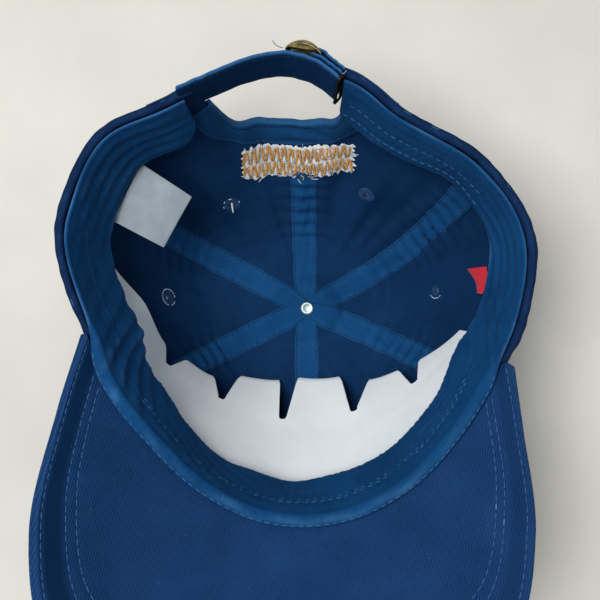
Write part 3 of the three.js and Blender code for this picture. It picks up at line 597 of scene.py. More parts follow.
class Paint:
    def __init__(self, name, **fixed):
        self.material = bpy.data.materials.new(name)
        self.material.use_nodes = True
        self.tree = self.material.node_tree
        self.shader = self.tree.nodes["Principled BSDF"]
        for socket, value in fixed.items():
            self.shader.inputs[socket.replace("_", " ")].default_value = value

    def feed(self, socket, value):
        if isinstance(value, Wire):
            self.tree.links.new(value.socket, socket)
        else:
            socket.default_value = value

    def node(self, kind, settings=None, inputs=None, output=0):
        made = self.tree.nodes.new("ShaderNode" + kind)
        for key, value in (settings or {}).items():
            if key == "stops":
                for n, (place, tone) in enumerate(value):
                    stop = made.color_ramp.elements[n] if n < 2 else made.color_ramp.elements.new(place)
                    stop.position, stop.color = place, tone
            else:
                setattr(made, key, value)
        for key, value in (inputs or {}).items():
            self.feed(made.inputs[key], value)
        return Wire(self, made.outputs[output])

    def mix(self, low, high, share):
        settings = {"data_type": "RGBA", "blend_type": "MIX"}
        return self.node("Mix", settings, {0: share, 6: low, 7: high}, 2)

    def flat(self, scale=1.0, lean=0.0, stretch=1.0):
        # The cloth's own directions in millimetres, scaled, turned and stretched
        where = self.node("UVMap", {"uv_map": "cloth"})
        turn, size = (0, 0, math.radians(lean)), (scale, scale * stretch, 1)
        return self.node("Mapping", {}, {"Vector": where, "Rotation": turn, "Scale": size})

    def noise(self, where, scale, detail=2.0, rough=0.5):
        inputs = {"Vector": where, "Scale": scale, "Detail": detail, "Roughness": rough}
        return self.node("TexNoise", {"noise_dimensions": "3D"}, inputs)

    def place(self):
        return self.node("TexCoord", {}, {}, "Object")

    def wearAndShade(self):
        return self.node("Attribute", {"attribute_name": "wearAndShade"}, {}, "Fac")

    def sine(self, value):
        return self.node("Math", {"operation": "SINE"}, {0: value})

    def relief(self, height, distance, strength):
        return self.node("Bump", {}, {"Height": height, "Distance": distance * mm, "Strength": strength})

    def finish(self, **sockets):
        for socket, value in sockets.items():
            self.feed(self.shader.inputs[socket.replace("_", " ")], value)
        return self.material


clothLook = {
    "mottle": 0.26,
    "yarn": 0.3,
    "fade": 0.45,
    "sheen": 0.06,
    "shine": 0.05,
    # darker colour below zero: fuller dye in places, painted shade on the bill
    "fullDyeAndShade": "04203f",
    "flecks": "8fa3b8",
}


def clothPaint(name, dark, light, worn, pitch, lean, ridge, rib=0.35, fleck=0.0):
    # Dyed cotton twill: slanting ridges, uneven yarns, cloudy dye and paler wear on edges; below zero the
    # wear value turns the cloth darker, as fuller dye in places and as painted shade on the bill's band
    # inside its edge
    paint = Paint(name, Sheen_Weight=clothLook["sheen"], Specular_IOR_Level=clothLook["shine"])
    paint.shader.inputs["Sheen Tint"].default_value = colour(worn)
    flat = paint.flat()
    wander = paint.noise(flat, 0.22, 2.0) * 1.1
    parts = paint.node("SeparateXYZ", {}, {0: paint.flat(1.0, lean)})
    ridges = paint.sine((parts + wander) * (math.tau / pitch)) * 0.5 + 0.5
    yarns = paint.noise(paint.flat(1.0, lean, 0.12), 2.6, 3.0, 0.65)
    threads = paint.noise(flat, 1.9, 3.0, 0.7)
    cloud = paint.noise(paint.place(), 42.0, 4.0, 0.62)
    tone = ridges * rib + yarns * clothLook["yarn"] + cloud * clothLook["mottle"] * 2.2 + threads * 0.35
    share = tone.between(0.3, 1.35)
    base = paint.mix(colour(dark), colour(light), share)
    # the paler wear comes only from values above zero
    wearAndShade = (paint.wearAndShade() * clothLook["fade"] * (yarns + 0.5)).between(0.02, 0.9)
    base = paint.mix(base, colour(worn), wearAndShade)
    fullDyeAndShade = (paint.wearAndShade() * -1.0).between(0.05, 1.0)  # below zero the cloth darkens: fuller dye in places, painted shade on the bill's band inside its edge
    base = paint.mix(base, colour(clothLook["fullDyeAndShade"]), fullDyeAndShade)
    if fleck:
        spots = paint.noise(flat, 0.85, 2.0, 0.5).between(0.7, 0.78) * fleck
        base = paint.mix(base, colour(clothLook["flecks"]), spots)
    height = ridges * 0.6 + threads * 0.5 + yarns * 0.4
    return paint.finish(
        Base_Color=base,
        Roughness=0.78 + share * 0.16,
        Normal=paint.relief(height, ridge, 0.9),
    )


def threadPaint(name, dark, light):
    paint = Paint(name, Sheen_Weight=0.05, Specular_IOR_Level=0.12)
    parts = paint.node("SeparateXYZ", {}, {0: paint.flat()})
    across = paint.node("SeparateXYZ", {}, {0: paint.flat()}, 1)
    twist = paint.sine((parts + across * 0.4) * 7.0) * 0.5 + 0.5
    patchy = paint.noise(paint.place(), 500.0, 2.0)
    share = twist * 0.35 + patchy * 0.65
    return paint.finish(
        Base_Color=paint.mix(colour(dark), colour(light), share.between(0.25, 0.75)),
        Roughness=0.6 + twist * 0.2,
        Normal=paint.relief(twist, 0.08, 0.8),
    )


def metalPaint(name, dark, light, worn, rough):
    paint = Paint(name, Metallic=1.0)
    cloud = paint.noise(paint.place(), 260.0, 4.0, 0.6)
    fine = paint.noise(paint.place(), 1500.0, 3.0, 0.6)
    share = (cloud * 0.8 + fine * 0.25).between(0.35, 0.72)
    base = paint.mix(colour(dark), colour(light), share)
    base = paint.mix(base, colour(worn), fine.between(0.58, 0.72) * 0.5)
    return paint.finish(
        Base_Color=base,
        Roughness=rough + share * 0.12 + fine * 0.1,
        Normal=paint.relief(fine, 0.03, 0.5),
    )


def cardPaint():
    paint = Paint("white_card", Specular_IOR_Level=0.35)
    pulp = paint.noise(paint.place(), 900.0, 4.0, 0.7)
    cloud = paint.noise(paint.place(), 30.0, 3.0, 0.5)
    grain = paint.noise(paint.flat(1.0, 0, 0.25), 1.2, 3.0, 0.6)
    share = (pulp * 0.3 + cloud * 0.7 + grain * 0.2).between(0.35, 0.8)
    base = paint.mix(colour("e6eff4"), colour("f6fbfd"), share)
    return paint.finish(
        Base_Color=base,
        Roughness=0.55 + pulp * 0.2,
        Normal=paint.relief(grain * 0.6 + pulp * 0.4, 0.05, 0.6),
    )


def wovenPaint(name, dark, light, pitch):
    # Plain woven ribbon: fine warp and weft with a slightly uneven face
    paint = Paint(name, Sheen_Weight=0.1, Specular_IOR_Level=0.3)
    flat = paint.flat()
    warp = paint.sine(paint.node("SeparateXYZ", {}, {0: flat}) * (math.tau / pitch)) * 0.5 + 0.5
    weft = paint.sine(paint.node("SeparateXYZ", {}, {0: flat}, 1) * (math.tau / pitch)) * 0.5 + 0.5
    cloud = paint.noise(paint.place(), 120.0, 3.0, 0.6)
    share = (warp * weft * 0.5 + cloud * 0.7).between(0.15, 0.75)
    return paint.finish(
        Base_Color=paint.mix(colour(dark), colour(light), share),
        Roughness=0.7 + share * 0.15,
        Normal=paint.relief(warp * weft, 0.08, 0.8),
    )


navy = clothPaint("crown_twill", "062343", "194272", "356396", 0.85, 62, 0.05, rib=0.12)
tapeBlue = clothPaint("tape_twill", "093764", "1f5a90", "447bae", 0.8, 40, 0.05, rib=0.12)
bandBlue = clothPaint("band_twill", "062f59", "1b5991", "5690c4", 0.8, 48, 0.05, rib=0.12)
billBlue = clothPaint("bill_twill", "082448", "1e4273", "34629a", 0.92, 14, 0.1, rib=0.4, fleck=0.12)
paleWorn = threadPaint("worn_thread", "4c6f98", "8fa5be")
billThread = threadPaint("bill_thread", "1b4276", "436f9f")
bandThread = threadPaint("band_thread", "15487a", "4478a8")
tapeThread = threadPaint("tape_thread", "12406f", "3a6c9d")
navyThread = threadPaint("navy_thread", "0b2c52", "2a5180")
strapThread = threadPaint("strap_thread", "06203f", "123a63")
paleThread = threadPaint("pale_thread", "9fb0bd", "e8eef2")
goldThread = threadPaint("gold_thread", "a3692a", "e3b06a")
steel = metalPaint("rivet_steel", "93a8ad", "c9d9db", "f4fafa", 0.4)
brass = metalPaint("old_brass", "5c5030", "b3a06a", "d8c890", 0.3)
darkBrass = metalPaint("dark_brass", "1c1b16", "3d3826", "6b6140", 0.45)
board = cardPaint()
labelWhite = wovenPaint("label_weave", "8c9aa5", "adb9c1", 0.6)
backingWhite = wovenPaint("backing_felt", "c3cdd3", "e6edf0", 0.9)
tagRed = wovenPaint("tag_red", "b01628", "dc3145", 0.5)
print("paints made")


# The six panels of the crown
def panelPiece(name, start, end):
    wide = np.mod(seams[end][1] - seams[start][1], 360)

    def place(u, v):
        at = blend(crown["rowFrom"], 1, v)
        first = seamAngle(start, at)
        width = np.mod(seamAngle(end, at) - first, 360)
        edge = np.degrees(crown["seamLine"] / np.maximum(4, 90 * at))
        return blend(first + edge, first + width - edge, u), at

    def pointAt(u, v, face):
        angle, at = place(u, v)
        return crownPoint(angle, at, face * crown["wall"])

    def uvAt(u, v):
        _, at = place(u, v)
        return np.stack([(u - 0.5) * np.radians(wide) * 92 * np.maximum(0.1, at), v * crown["lengthUp"]], -1)

    def wearAndShadeAt(u, v):
        return 0.9 * hump(v, 1, 0.006) + 0.25 * (hump(u, 0, 0.02) + hump(u, 1, 0.02))

    columns = int(wide * crown["columnsPerDegree"])
    piece = clothWall(
        name + "_cloth", columns, crown["rows"], pointAt, navy, [name], uvAt, wearAndShadeAt
    )
    return sheetOf(piece)


crownPieces = {name: panelPiece(name, start, end) for name, start, end in panels}
print("panels made")


def cutWith(piece, tools):
    # Cuts closed bodies out of a piece, which keeps its finish
    for tool in tools:
        applied(piece, ("BOOLEAN", {"operation": "DIFFERENCE", "solver": "EXACT", "object": tool}))
        smoothAll(piece)


def smoothAll(piece):
    piece.data.polygons.foreach_set("use_smooth", np.ones(len(piece.data.polygons), bool))


arch = {
    "outline": (
        (-46, 100), (-43.5, 86), (-39, 71), (-32, 57), (-21, 51), (-8, 50),
        (5, 52), (13, 59), (16, 71), (15.5, 84), (14.5, 100),
    ),
    "cutFrom": 55,
    "cutTo": 125,
    "bindingWide": 9,
    "bindingThick": 0.9,
    "from": 0.17,
    "to": 0.815,
    "stations": 150,
}
archRoute, archAlong, archLength = smoothRoute(arch["outline"])


def archTool():
    line = archRoute(np.linspace(0, 1, 64))
    front = np.stack([line[:, 0], np.full(len(line), arch["cutFrom"]), line[:, 1]], -1)
    back = front + [0, arch["cutTo"] - arch["cutFrom"], 0]
    count = len(line)
    faces = [[n, (n + 1) % count, (n + 1) % count + count, n + count] for n in range(count)]
    faces += [list(range(count))[::-1], [n + count for n in range(count)]]
    tool = makeObject("arch_tool", np.vstack([front, back]), faces, navy)
    faceOut(tool)
    return tool


eyelets = (
    {"name": "back_left", "panel": "panel_back_left", "angle": 125.5, "away": 61, "pale": 0.15},
    {"name": "back_right", "panel": "panel_back_right", "angle": 62.6, "away": 60.6, "pale": 0.1},
    {"name": "side_left", "panel": "panel_side_left", "angle": 176, "away": 66.8, "pale": 0.9},
    {"name": "side_right", "panel": "panel_side_right", "angle": 8, "away": 62, "pale": 0.95},
    {"name": "front_left", "panel": "panel_front_left", "angle": 238, "away": 62, "pale": 0.2},
    {"name": "front_right", "panel": "panel_front_right", "angle": 302, "away": 60, "pale": 0.2},
)
eyelet = {
    "radius": 4.0,
    "hole": 1.15,
    "cut": 2.6,
    "threads": 34,
    "thread": 0.5,
    "over": 0.42,
    "dashes": 15,
    "dash": 0.42,
    "single": (-0.4, 3.1, 0.9),  # half of the white stitch left standing across the back left one
}


def eyeletSeat(row):
    # Middle, direction through the wall, and two directions across, of one eyelet
    at = atRadius(np.array(row["angle"], float), row["away"])
    outer, inner = (crownPoint(row["angle"], at, d) for d in (0, crown["wall"]))
    through = unit(inner - outer)
    side = unit(np.cross([0.0, 0.0, 1.0], through))
    return (outer + inner) / 2, through, side, np.cross(through, side)


def seatFrom(middle, through, side, top):
    def place(points):
        return middle + points[:, :1] * side + points[:, 1:2] * top + points[:, 2:] * through
    return place


def eyeletTool(row):
    profile = [(0, -4), (eyelet["cut"], -4), (eyelet["cut"], 4), (0, 4)]
    return turned("eyelet_tool", profile, 20, seatFrom(*eyeletSeat(row)), navy)


def cutCrown():
    tools = [(row["panel"], eyeletTool(row)) for row in eyelets]
    cutter = archTool()
    for name, piece in crownPieces.items():
        mine = [tool for panel, tool in tools if panel == name]
        cutWith(piece, mine + ([cutter] if name.startswith("panel_back") else []))
    for tool in [cutter] + [tool for _, tool in tools]:
        bpy.data.objects.remove(tool)


cutCrown()
print("holes cut")


def makeEyelet(row):
    # A sewn eyelet: a round pad of thread with radial stitches over it
    seat = eyeletSeat(row)
    place = seatFrom(*seat)
    half = crown["wall"] / 2
    outer, inner = eyelet["radius"], eyelet["hole"]
    ring = np.array([
        (inner, 0), (inner + 0.15, -half), (inner + 0.7, -half - 0.4), (outer - 0.9, -half - 0.3),
        (outer, -half + 0.1), (outer, half - 0.1), (outer - 0.9, half + 0.3), (inner + 0.7, half + 0.4),
        (inner + 0.15, half),
    ])
    sides = 40
    angle = np.arange(sides) * math.tau / sides
    points = around(ring[:, :1], angle, np.repeat(ring[:, 1:], sides, 1))
    index = np.arange(len(ring) * sides).reshape(len(ring), sides)
    side, above = np.roll(index, -1, axis=1), np.roll(index, -1, axis=0)
    quads = np.stack([index, side, np.roll(side, -1, axis=0), above], -1).reshape(-1, 4)
    uv = points.reshape(-1, 3)[:, :2]
    node = "eyelet_" + row["name"]
    pad = makeObject(node + "_pad", place(points.reshape(-1, 3)), quads, navyThread, [node], uv)
    faceOut(pad)
    chance = np.random.default_rng(int(row["angle"]))
    count = eyelet["threads"]
    turn = np.arange(count) * math.tau / count + chance.uniform(-0.03, 0.03, count)
    rows = []
    for face in (-1, 1):
        level = face * (half + eyelet["over"])
        near = around(inner + 0.3, turn, np.full(count, level))
        reach = outer + chance.uniform(-0.35, 0.25, count)
        far = around(reach, turn, np.full(count, level - face * 0.25))
        normal = np.tile(seat[1] * face, (count, 1))
        rows.append((place(near), place(far), normal))
    threadMesh(node + "_thread", *joinRows(rows), eyelet["thread"], navyThread, 0.2)
    dashes = eyelet["dashes"]
    turn = np.arange(dashes) * math.tau / dashes
    wide = chance.uniform(0.12, 0.24, dashes)
    reach = outer + 0.05
    level = np.full(dashes, half + 0.55)
    ends = [around(reach, turn + w, level) for w in (-wide, wide)]
    keep = chance.uniform(0, 1, dashes) < row["pale"]
    if keep.any():
        normal = np.tile(seat[1], (dashes, 1))[keep]
        starts, tips = (place(e[keep]) for e in ends)
        threadMesh(node + "_dashes", starts, tips, normal, eyelet["dash"], paleThread, 0.3)
    if row["name"] == "back_left":
        middle = place(np.array([[0.0, 0.0, half + 0.9]]))
        reach = np.array([eyelet["single"]])
        threadMesh(node + "_stitch", middle - reach, middle + reach, seat[1][None], 0.9, paleThread, 0)


for eyeletRow in eyelets:
    makeEyelet(eyeletRow)
print("eyelets made")

# Tapes over the seams inside the crown
tape = {
    "wide": 11.6,
    "lift": 1.4,
    "body": 0.4,
    "plump": 0.35,
    "crease": 0.3,
    "draw": 0.13,
    "stitch": 2.1,
    "every": 3.0,
    "grooveAt": 0.8,
    "groove": 0.22,
    "innerEnd": 0.016,
    "top": 0.93,
    "backHeight": 30.0,
    "rows": 150,
    "columns": 22,
    "order": {  # which tape crosses over which at the button
        "front": 0.0, "back": 0.0, "left_front": 0.4, "right_back": 0.4, "left_back": 0.8, "right_front": 0.8,
    },
}


def tapePiece(name):
    top = tape["top"]
    if name == "back":  # this one ends under the embroidery
        top = float(atHeight(np.array(seamAngle(name, 0.5), float), tape["backHeight"]))

    def place(u, v):
        at = blend(tape["innerEnd"], top, v)
        middle = seamAngle(name, at)
        point = crownOuter(middle, at)
        radius = np.hypot(point[..., 0], point[..., 1])
        half = tape["wide"] / 2 + 0.25 * uneven(at * 60, 0 * at, len(name))
        aside = np.degrees(np.arctan((2 * u - 1) * half / np.maximum(radius, 2.2)))
        return middle + aside, at, radius

    def surface(u, v, depth):
        angle, at, radius = place(u, v)
        across = np.abs(2 * u - 1)
        body = (1 - across**8) * tape["plump"] + tape["body"]
        groove = tape["groove"] * hump(across, tape["grooveAt"], 0.09)
        crease = tape["crease"] * uneven(at * 62 + u * 7, u * 9 - at * 34, 21 + len(name)) * (1 - across**6)
        draw = tape["draw"] * uneven(at * 210 + 4 * u, u * 4, 43 + len(name)) * hump(across, 0.8, 0.3)
        over = tape["order"][name] * (1 - ease(radius, 9, 20))
        return crownPoint(angle, at, tape["lift"] + over + depth * (body - groove + crease + draw))

    def uvAt(u, v):
        return np.stack([(u - 0.5) * tape["wide"], v * crown["lengthUp"] * top], -1)

    def wearAndShadeAt(u, v):
        across = np.abs(2 * u - 1)
        return 0.5 * hump(across, 1, 0.04) - 0.8 * hump(across, 0.87, 0.06) + 0.3 * hump(across, 0.6, 0.12)

    piece = clothWall(
        f"tape_{name}_cloth", tape["columns"], tape["rows"], surface, tapeBlue,
        [f"tape_{name}"], uvAt, wearAndShadeAt,
    )
    sheetOf(piece)
    rows = []
    for u in (0.5 - tape["grooveAt"] / 2, 0.5 + tape["grooveAt"] / 2):
        line = np.linspace(0.1, 0.995, 200)
        size = (tape["stitch"], tape["every"], 1.0, 0.3, len(name))
        rows.append(stitchesOn(surface, np.full(200, u), line, *size))
    return rows


tapeRows = [row for name in seams for row in tapePiece(name)]
threadMesh("tape_stitches", *joinRows(tapeRows), 0.32, tapeThread, 0.3)
print("tapes made")

# Sweatband
band = {
    "wide": 32,
    "long": 560,
    "inset": 3.7,  # behind the hem of the crown
    "insetFront": 1.1,  # along the bill it rolls over the rim instead
    "freeInset": 1.8,
    "shelf": 1.3,
    "shelfFront": 5.6,
    "roll": 0.55,
    "rollFront": 1.5,
    "lift": 0.4,
    "start": 121,
    "end": 441,
    "hollow": 1.1,
    "thick": 1.2,
    "grooves": (0.43, 0.49),
    "grooveDeep": 0.42,
    "between": 0.46,  # the rib between the two grooves
    "edgeWave": 0.8,
    "fine": 0.13,
    "pull": 0.16,
    "stitch": 2.3,
    "every": 3.4,
    "thread": 0.42,
    "columns": 600,
    "rows": 50,
}
bandRows = (  # rows of stitches: share of the way down, and the stretch in degrees
    {"down": 0.05, "from": 190, "to": 342},
    {"down": 0.43, "from": 207, "to": 338},
    {"down": 0.49, "from": 207, "to": 338},
    {"down": 0.5, "from": 393, "to": 440},
    {"down": 0.82, "from": 391, "to": 440},
)
bandFolds = (  # creases by stretch: its middle and width, their direction, spacing and depth
    {"angle": 143, "wide": 18, "lean": 5, "every": 7.5, "deep": 0.75},
    {"angle": 186, "wide": 26, "lean": 48, "every": 8.5, "deep": 0.85},
    {"angle": 235, "wide": 24, "lean": 18, "every": 6.0, "deep": 0.22},
    {"angle": 285, "wide": 24, "lean": 66, "every": 6.5, "deep": 0.2},
    {"angle": 325, "wide": 20, "lean": 8, "every": 4.6, "deep": 0.24},
    {"angle": 352, "wide": 12, "lean": -38, "every": 6.5, "deep": 0.5},
    {"angle": 378, "wide": 15, "lean": -6, "every": 7.5, "deep": 0.85},
    {"angle": 418, "wide": 26, "lean": -4, "every": 9.0, "deep": 0.22},
)


def bandReach(angle):
    def rounded(inside, size, least):
        t = np.clip(inside / size, 0, 1)
        return blend(least, 1, np.sqrt(1 - (1 - t) ** 2))
    return np.minimum(rounded(angle - band["start"], 8, 0.5), rounded(band["end"] - angle, 4, 0.8))


def bandCreases(angle, down):
    # Creases of the band, -1 to 1, and how deep they are there in millimetres
    along, across = np.radians(angle) * 90, down * band["wide"]
    total = 0.0
    for n, fold in enumerate(bandFolds):
        lean = math.radians(fold["lean"])
        line = across * math.cos(lean) + along * math.sin(lean)
        wander = 1.7 * uneven(along / 17, across / 11, 101 + n)
        strength = 0.55 + 0.45 * uneven(along / 23, across / 15, 131 + n)
        here = hump(angle, fold["angle"], fold["wide"])
        total = total + here * fold["deep"] * strength * np.sin(math.tau * line / fold["every"] + wander)
    return total


def bandFront(angle):
    turn = np.mod(angle, 360)
    return ease(turn, bill["from"] - 5, bill["from"] + 8) * (1 - ease(turn, bill["to"] - 9, bill["to"] + 3))


def bandSurface(angle, down, depth):
    # The band's inside face is at depth 1. down runs from 0 at the rim to 1 at the free edge
    angle, down = np.broadcast_arrays(np.asarray(angle, float), np.asarray(down, float))
    turn, front = np.radians(angle), bandFront(angle)
    pairs = ((band[key], band[key + "Front"]) for key in ("inset", "shelf", "roll"))
    inset, shelf, roll = (blend(a, b, front) for a, b in pairs)
    total = rimValue(angle, "lean") + band["freeInset"] - inset
    shelfShare = (shelf + 0.8) / band["wide"]
    onShelf = np.clip(down / shelfShare, 0, 1)
    beyond = np.clip((down - shelfShare) / (1 - shelfShare), 0, 1)
    plan = shelf * (1 - np.cos(np.pi * onShelf)) / 2 + (total - shelf) * beyond ** band["hollow"]
    drop = np.sqrt((band["wide"] * (1 - shelfShare)) ** 2 - (total - shelf) ** 2)
    level = roll * np.sin(np.pi * onShelf) - drop * beyond
    hanging = ease(beyond, 0, 0.14)
    wave = band["edgeWave"] * ease(beyond, 0.35, 1) * uneven(turn * 13, down * 2.0, 31)
    fine = band["fine"] * uneven(turn * 120 - down * 9, down * 15 + turn * 30, 19, spread=1.2)
    tuck = sum(hump(down, place, 0.014) for place in band["grooves"]) * band["grooveDeep"]
    tuck = tuck * ease(angle, 205, 222) * (1 - ease(angle, 326, 342))
    tuck = tuck - 0.25 * hump(down, band["between"], 0.02)
    drawn = hump(down, band["between"], 0.12) + hump(down, 0.1, 0.1)
    pull = band["pull"] * uneven(turn * 105, down * 3, 37) * drawn
    out = bandCreases(angle, down) * (0.3 + 0.7 * hanging) + fine + pull - tuck
    out = (wave + out) + depth * band["thick"]
    radius = rimValue(angle, "radius") - inset - plan - out * blend(0.25, 1, hanging)
    height = rimValue(angle, "height") + band["lift"] + level + out * blend(1, 0.2, hanging)
    return around(radius, turn, height)


def makeBand():
    def place(u, v):
        angle = blend(band["start"], band["end"], u)
        return angle, v * bandReach(angle)

    def pointAt(u, v, face):
        return bandSurface(*place(u, v), face)

    def wearAndShadeAt(u, v):
        angle, down = place(u, v)
        front = bandFront(angle)
        ridges = 0.5 * front * hump(down, 0.09, 0.05) * (0.35 + 0.65 * hump(angle, 280, 45))
        ridges = ridges + (1 - front) * 0.8 * hump(down, 0.01, 0.022)
        ridges = ridges + 0.45 * hump(v, 1, 0.02) + 0.5 * np.clip(bandCreases(angle, down), 0, 1)
        return ridges + 0.2 * uneven(u * 90, v * 26, 9)

    piece = clothWall(
        "sweatband_cloth", band["columns"], band["rows"], pointAt, bandBlue, ["sweatband"],
        clothMap(band["long"], band["wide"]), wearAndShadeAt,
    )
    sheetOf(piece)
    rows = []
    for row in bandRows:
        angle = np.linspace(row["from"], row["to"], 700)
        down = np.full(700, row["down"])
        size = (band["stitch"], band["every"], 1.0, 0.4, row["from"])
        rows.append(stitchesOn(bandSurface, angle, down, *size))
    threadMesh("sweatband_stitches", *joinRows(rows), band["thread"], bandThread, 0.3)


makeBand()

hem = {
    "spans": ((118, 187.5), (-15.5, 81.2)),
    "bumps": 0.35,
    "perDegree": 3.2,
    "section": (
        (0.15, -7.0), (0.75, -6.6), (0.9, -4.0), (0.95, -1.6), (0.7, -0.4), (0.1, 0.45),
        (-0.8, 0.9), (-1.7, 0.95), (-2.5, 0.6), (-3.0, 0.0), (-3.05, -0.9), (-2.6, -1.6),
        (-1.4, -1.4), (-0.4, -0.6), (0.1, -1.2), (0.15, -4.0),
    ),
}


def makeHem():
    # The crown's cloth folded over its rim, on both sides of the arch
    for n, (start, end) in enumerate(hem["spans"]):
        def pointAt(t, corner, start=start, end=end, n=n):
            angle = blend(start, end, t)
            turn = np.radians(angle)
            out, up = corner[..., 0], corner[..., 1]
            bump = hem["bumps"] * uneven(turn * 13, 0 * turn, 91 + n) + 0.12 * uneven(turn * 60, out, 93)
            puff = 0.3 * uneven(turn * 33, out * 0.8, 95 + n) * (up > -1.5)
            drop = crown["billSeat"] * underBill(angle)
            lean = np.minimum(0, up + 1) * -0.06
            radius = rimValue(angle, "radius") + out + bump + lean
            height = rimValue(angle, "height") - drop + up + puff
            return around(radius, turn, height)

        def uvAt(t, corner):
            return np.stack([t * 110, corner[..., 0] + corner[..., 1]], -1)

        def wearAndShadeAt(t, corner):
            return 0.3 * hump(corner[..., 1], 0.9, 0.3) + 0.15 * uneven(t * 60, corner[..., 0], 97)

        carried(
            f"crown_hem_{n + 1}", int((end - start) * hem["perDegree"]), hem["section"], pointAt,
            hemNavy, (), uvAt, wearAndShadeAt,
        )


hemNavy = clothPaint("hem_twill", "071b3b", "17345f", "3a629a", 0.85, 62, 0.05, rib=0.15)
makeHem()
print("sweatband and hem made")

# Bill: its two covers, sewn together round a board
billLook = {
    "columns": 280,
    "rows": 84,
    "rowsFromEdge": (13.6, 18.4),
    "rowsWiden": 3.2,  # towards the right
    "upperRows": (9.5, 15.5, 21.5, 27.5, 33.5, 39.5),
    "edgeStitch": 3.6,
    "stitch": 2.6,
    "every": 3.5,
    "thread": 0.42,
    "wornFrom": 40,  # to the right of this some stitches are rubbed pale
    "wornShare": 0.13,
    "gap": 0.3,
    "edgeRound": 1.9,
    "grooves": 0.2,
}
billEdge, billEdgeAlong, billLength = smoothRoute(bill["outline"])


def billHeight(x, y):
    roll = np.where(x < 0, bill["rollLeft"], bill["rollRight"])
    return bill["level"] - bill["slope"] * y + roll * (np.abs(x) / bill["halfWidth"]) ** bill["rollPower"]


def billPlace(along, out):
    angle = blend(bill["from"], bill["to"], along)
    radius = rimValue(angle, "radius") - bill["inset"]
    root = around(radius, np.radians(angle), radius)[..., :2]
    edge = billEdge(along)
    point = blend(root, edge, np.expand_dims(out, -1))
    lift = rimValue(angle, "height") - billHeight(root[..., 0], root[..., 1])
    return point, lift, np.linalg.norm(edge - root, axis=-1)


def billSurface(along, out, depth):
    # The bill from the rim (out 0) to its edge (out 1), so deep below its inner face
    along, out = np.broadcast_arrays(np.asarray(along, float), np.asarray(out, float))
    point, lift, _ = billPlace(along, out)
    x, y = point[..., 0], point[..., 1]
    level = billHeight(x, y) + lift * (1 - out) ** 2
    step = 0.5
    slope = (billHeight(x + step, y) - billHeight(x - step, y)) / (2 * step)
    down = unit(np.stack([slope, np.full(x.shape, -bill["slope"]), np.full(x.shape, -1.0)], -1))
    return np.stack([x, y, level], -1) + down * np.expand_dims(np.broadcast_to(depth, x.shape), -1)


def coverRelief(along, out):
    # Low relief of a cover: a rolled edge, and grooves where the rows of stitches draw it in
    _, _, width = billPlace(along, out)
    fromEdge = (1 - out) * width
    relief = 0.3 * hump(fromEdge, 1.7, 1.3) - 0.28 * hump(fromEdge, billLook["edgeStitch"], 0.8)
    rows = (row + billLook["rowsWiden"] * along for row in billLook["rowsFromEdge"])
    relief = relief - sum(billLook["grooves"] * hump(fromEdge, row, 0.9) for row in rows)
    relief = relief + 0.12 * uneven(along * 60, out * 7, 23) + 0.05 * uneven(along * 190, out * 20, 29)
    return relief * ease(out, 0.0, 0.06)


def makeCover(name, node, top, bottom, sense):
    # One cover between two depths. sense is -1 where its show face looks up, 1 where it looks down
    def pointAt(u, v, face):
        _, _, width = billPlace(u, v)
        inside = np.minimum(1, (1 - v) * width / billLook["edgeRound"])
        rounding = 1.15 * np.sqrt(np.clip(1 - inside**2, 0, 1))
        relief = coverRelief(u, v)
        if sense < 0:
            depth = top - relief + rounding if face == 0 else bottom
        else:
            depth = bottom + relief - rounding if face == 1 else top
        return billSurface(u, v, depth)

    def uvAt(u, v):
        return billPlace(u, v)[0]

    def wearAndShadeAt(u, v):
        _, _, width = billPlace(u, v)
        fromEdge = (1 - v) * width
        # Painted shade: a darker band from 2.5 to 15.5 mm in from the edge, given below zero as deep. It is
        # stronger on the left, where the bill turns away from the light, and weaker on the right
        shadedBand = ease(fromEdge, 2.5, 5.5) * (1 - ease(fromEdge, 10.5, 15.5))
        deep = shadedBand * (0.75 * (1 - ease(u, 0.3, 0.5)) + 0.45 * ease(u, 0.55, 0.8))
        return 0.45 * hump(fromEdge, 1.2, 1.4) - deep

    piece = clothWall(
        name, billLook["columns"], billLook["rows"], pointAt, billBlue, [node],
        uvAt, wearAndShadeAt, 0.25,
    )
    sheetOf(piece)


def billRow(fromEdge, depth, widen=0.0):
    # Stitches round the bill at one distance from its edge, on the face at that depth
    along = np.linspace(0, 1, 700)
    _, _, width = billPlace(along, np.zeros(700))
    out = 1 - (fromEdge + widen * along) / width
    kept = out > 0.03
    sense = -1 if depth <= 0 else 1

    def surface(a, o, lift):
        relief = coverRelief(a, o)
        return billSurface(a, o, depth + sense * (relief + lift - 1.0))

    turns = np.flatnonzero(np.diff(np.concatenate([[False], kept, [False]]).astype(int)))
    spans = [slice(start, end) for start, end in zip(turns[::2], turns[1::2]) if end - start > 8]
    size = (billLook["stitch"], billLook["every"], 1.0, 0.3, int(fromEdge * 10))
    return [stitchesOn(surface, along[span], out[span], *size) for span in spans]


def makeBill():
    cover = bill["cover"]
    makeCover("bill_under_cloth", "bill_under", 0.0, cover + 0.1, -1)
    bottom = 2 * cover + billLook["gap"]
    makeCover("bill_upper_cloth", "bill_upper", cover + 0.2, bottom, 1)
    rows = billRow(billLook["edgeStitch"], 0.0)
    inner = []
    for place in billLook["rowsFromEdge"]:
        inner += billRow(place, 0.0, billLook["rowsWiden"])
    threadMesh("bill_stitches", *joinRows(rows + inner), billLook["thread"], billThread, 0.3)
    starts, ends, normals = joinRows(inner)
    chance = np.random.default_rng(15)
    worn = (starts[:, 0] > billLook["wornFrom"]) & (chance.uniform(0, 1, len(starts)) < billLook["wornShare"])
    threadMesh("bill_worn_stitches", starts[worn], ends[worn], normals[worn], 0.4, paleWorn, 0.4)
    rows = []
    for place in (billLook["edgeStitch"], *billLook["upperRows"]):
        rows += billRow(place, bottom)
    threadMesh("bill_upper_stitches", *joinRows(rows), billLook["thread"], navyThread, 0.35)


makeBill()
print("bill made")


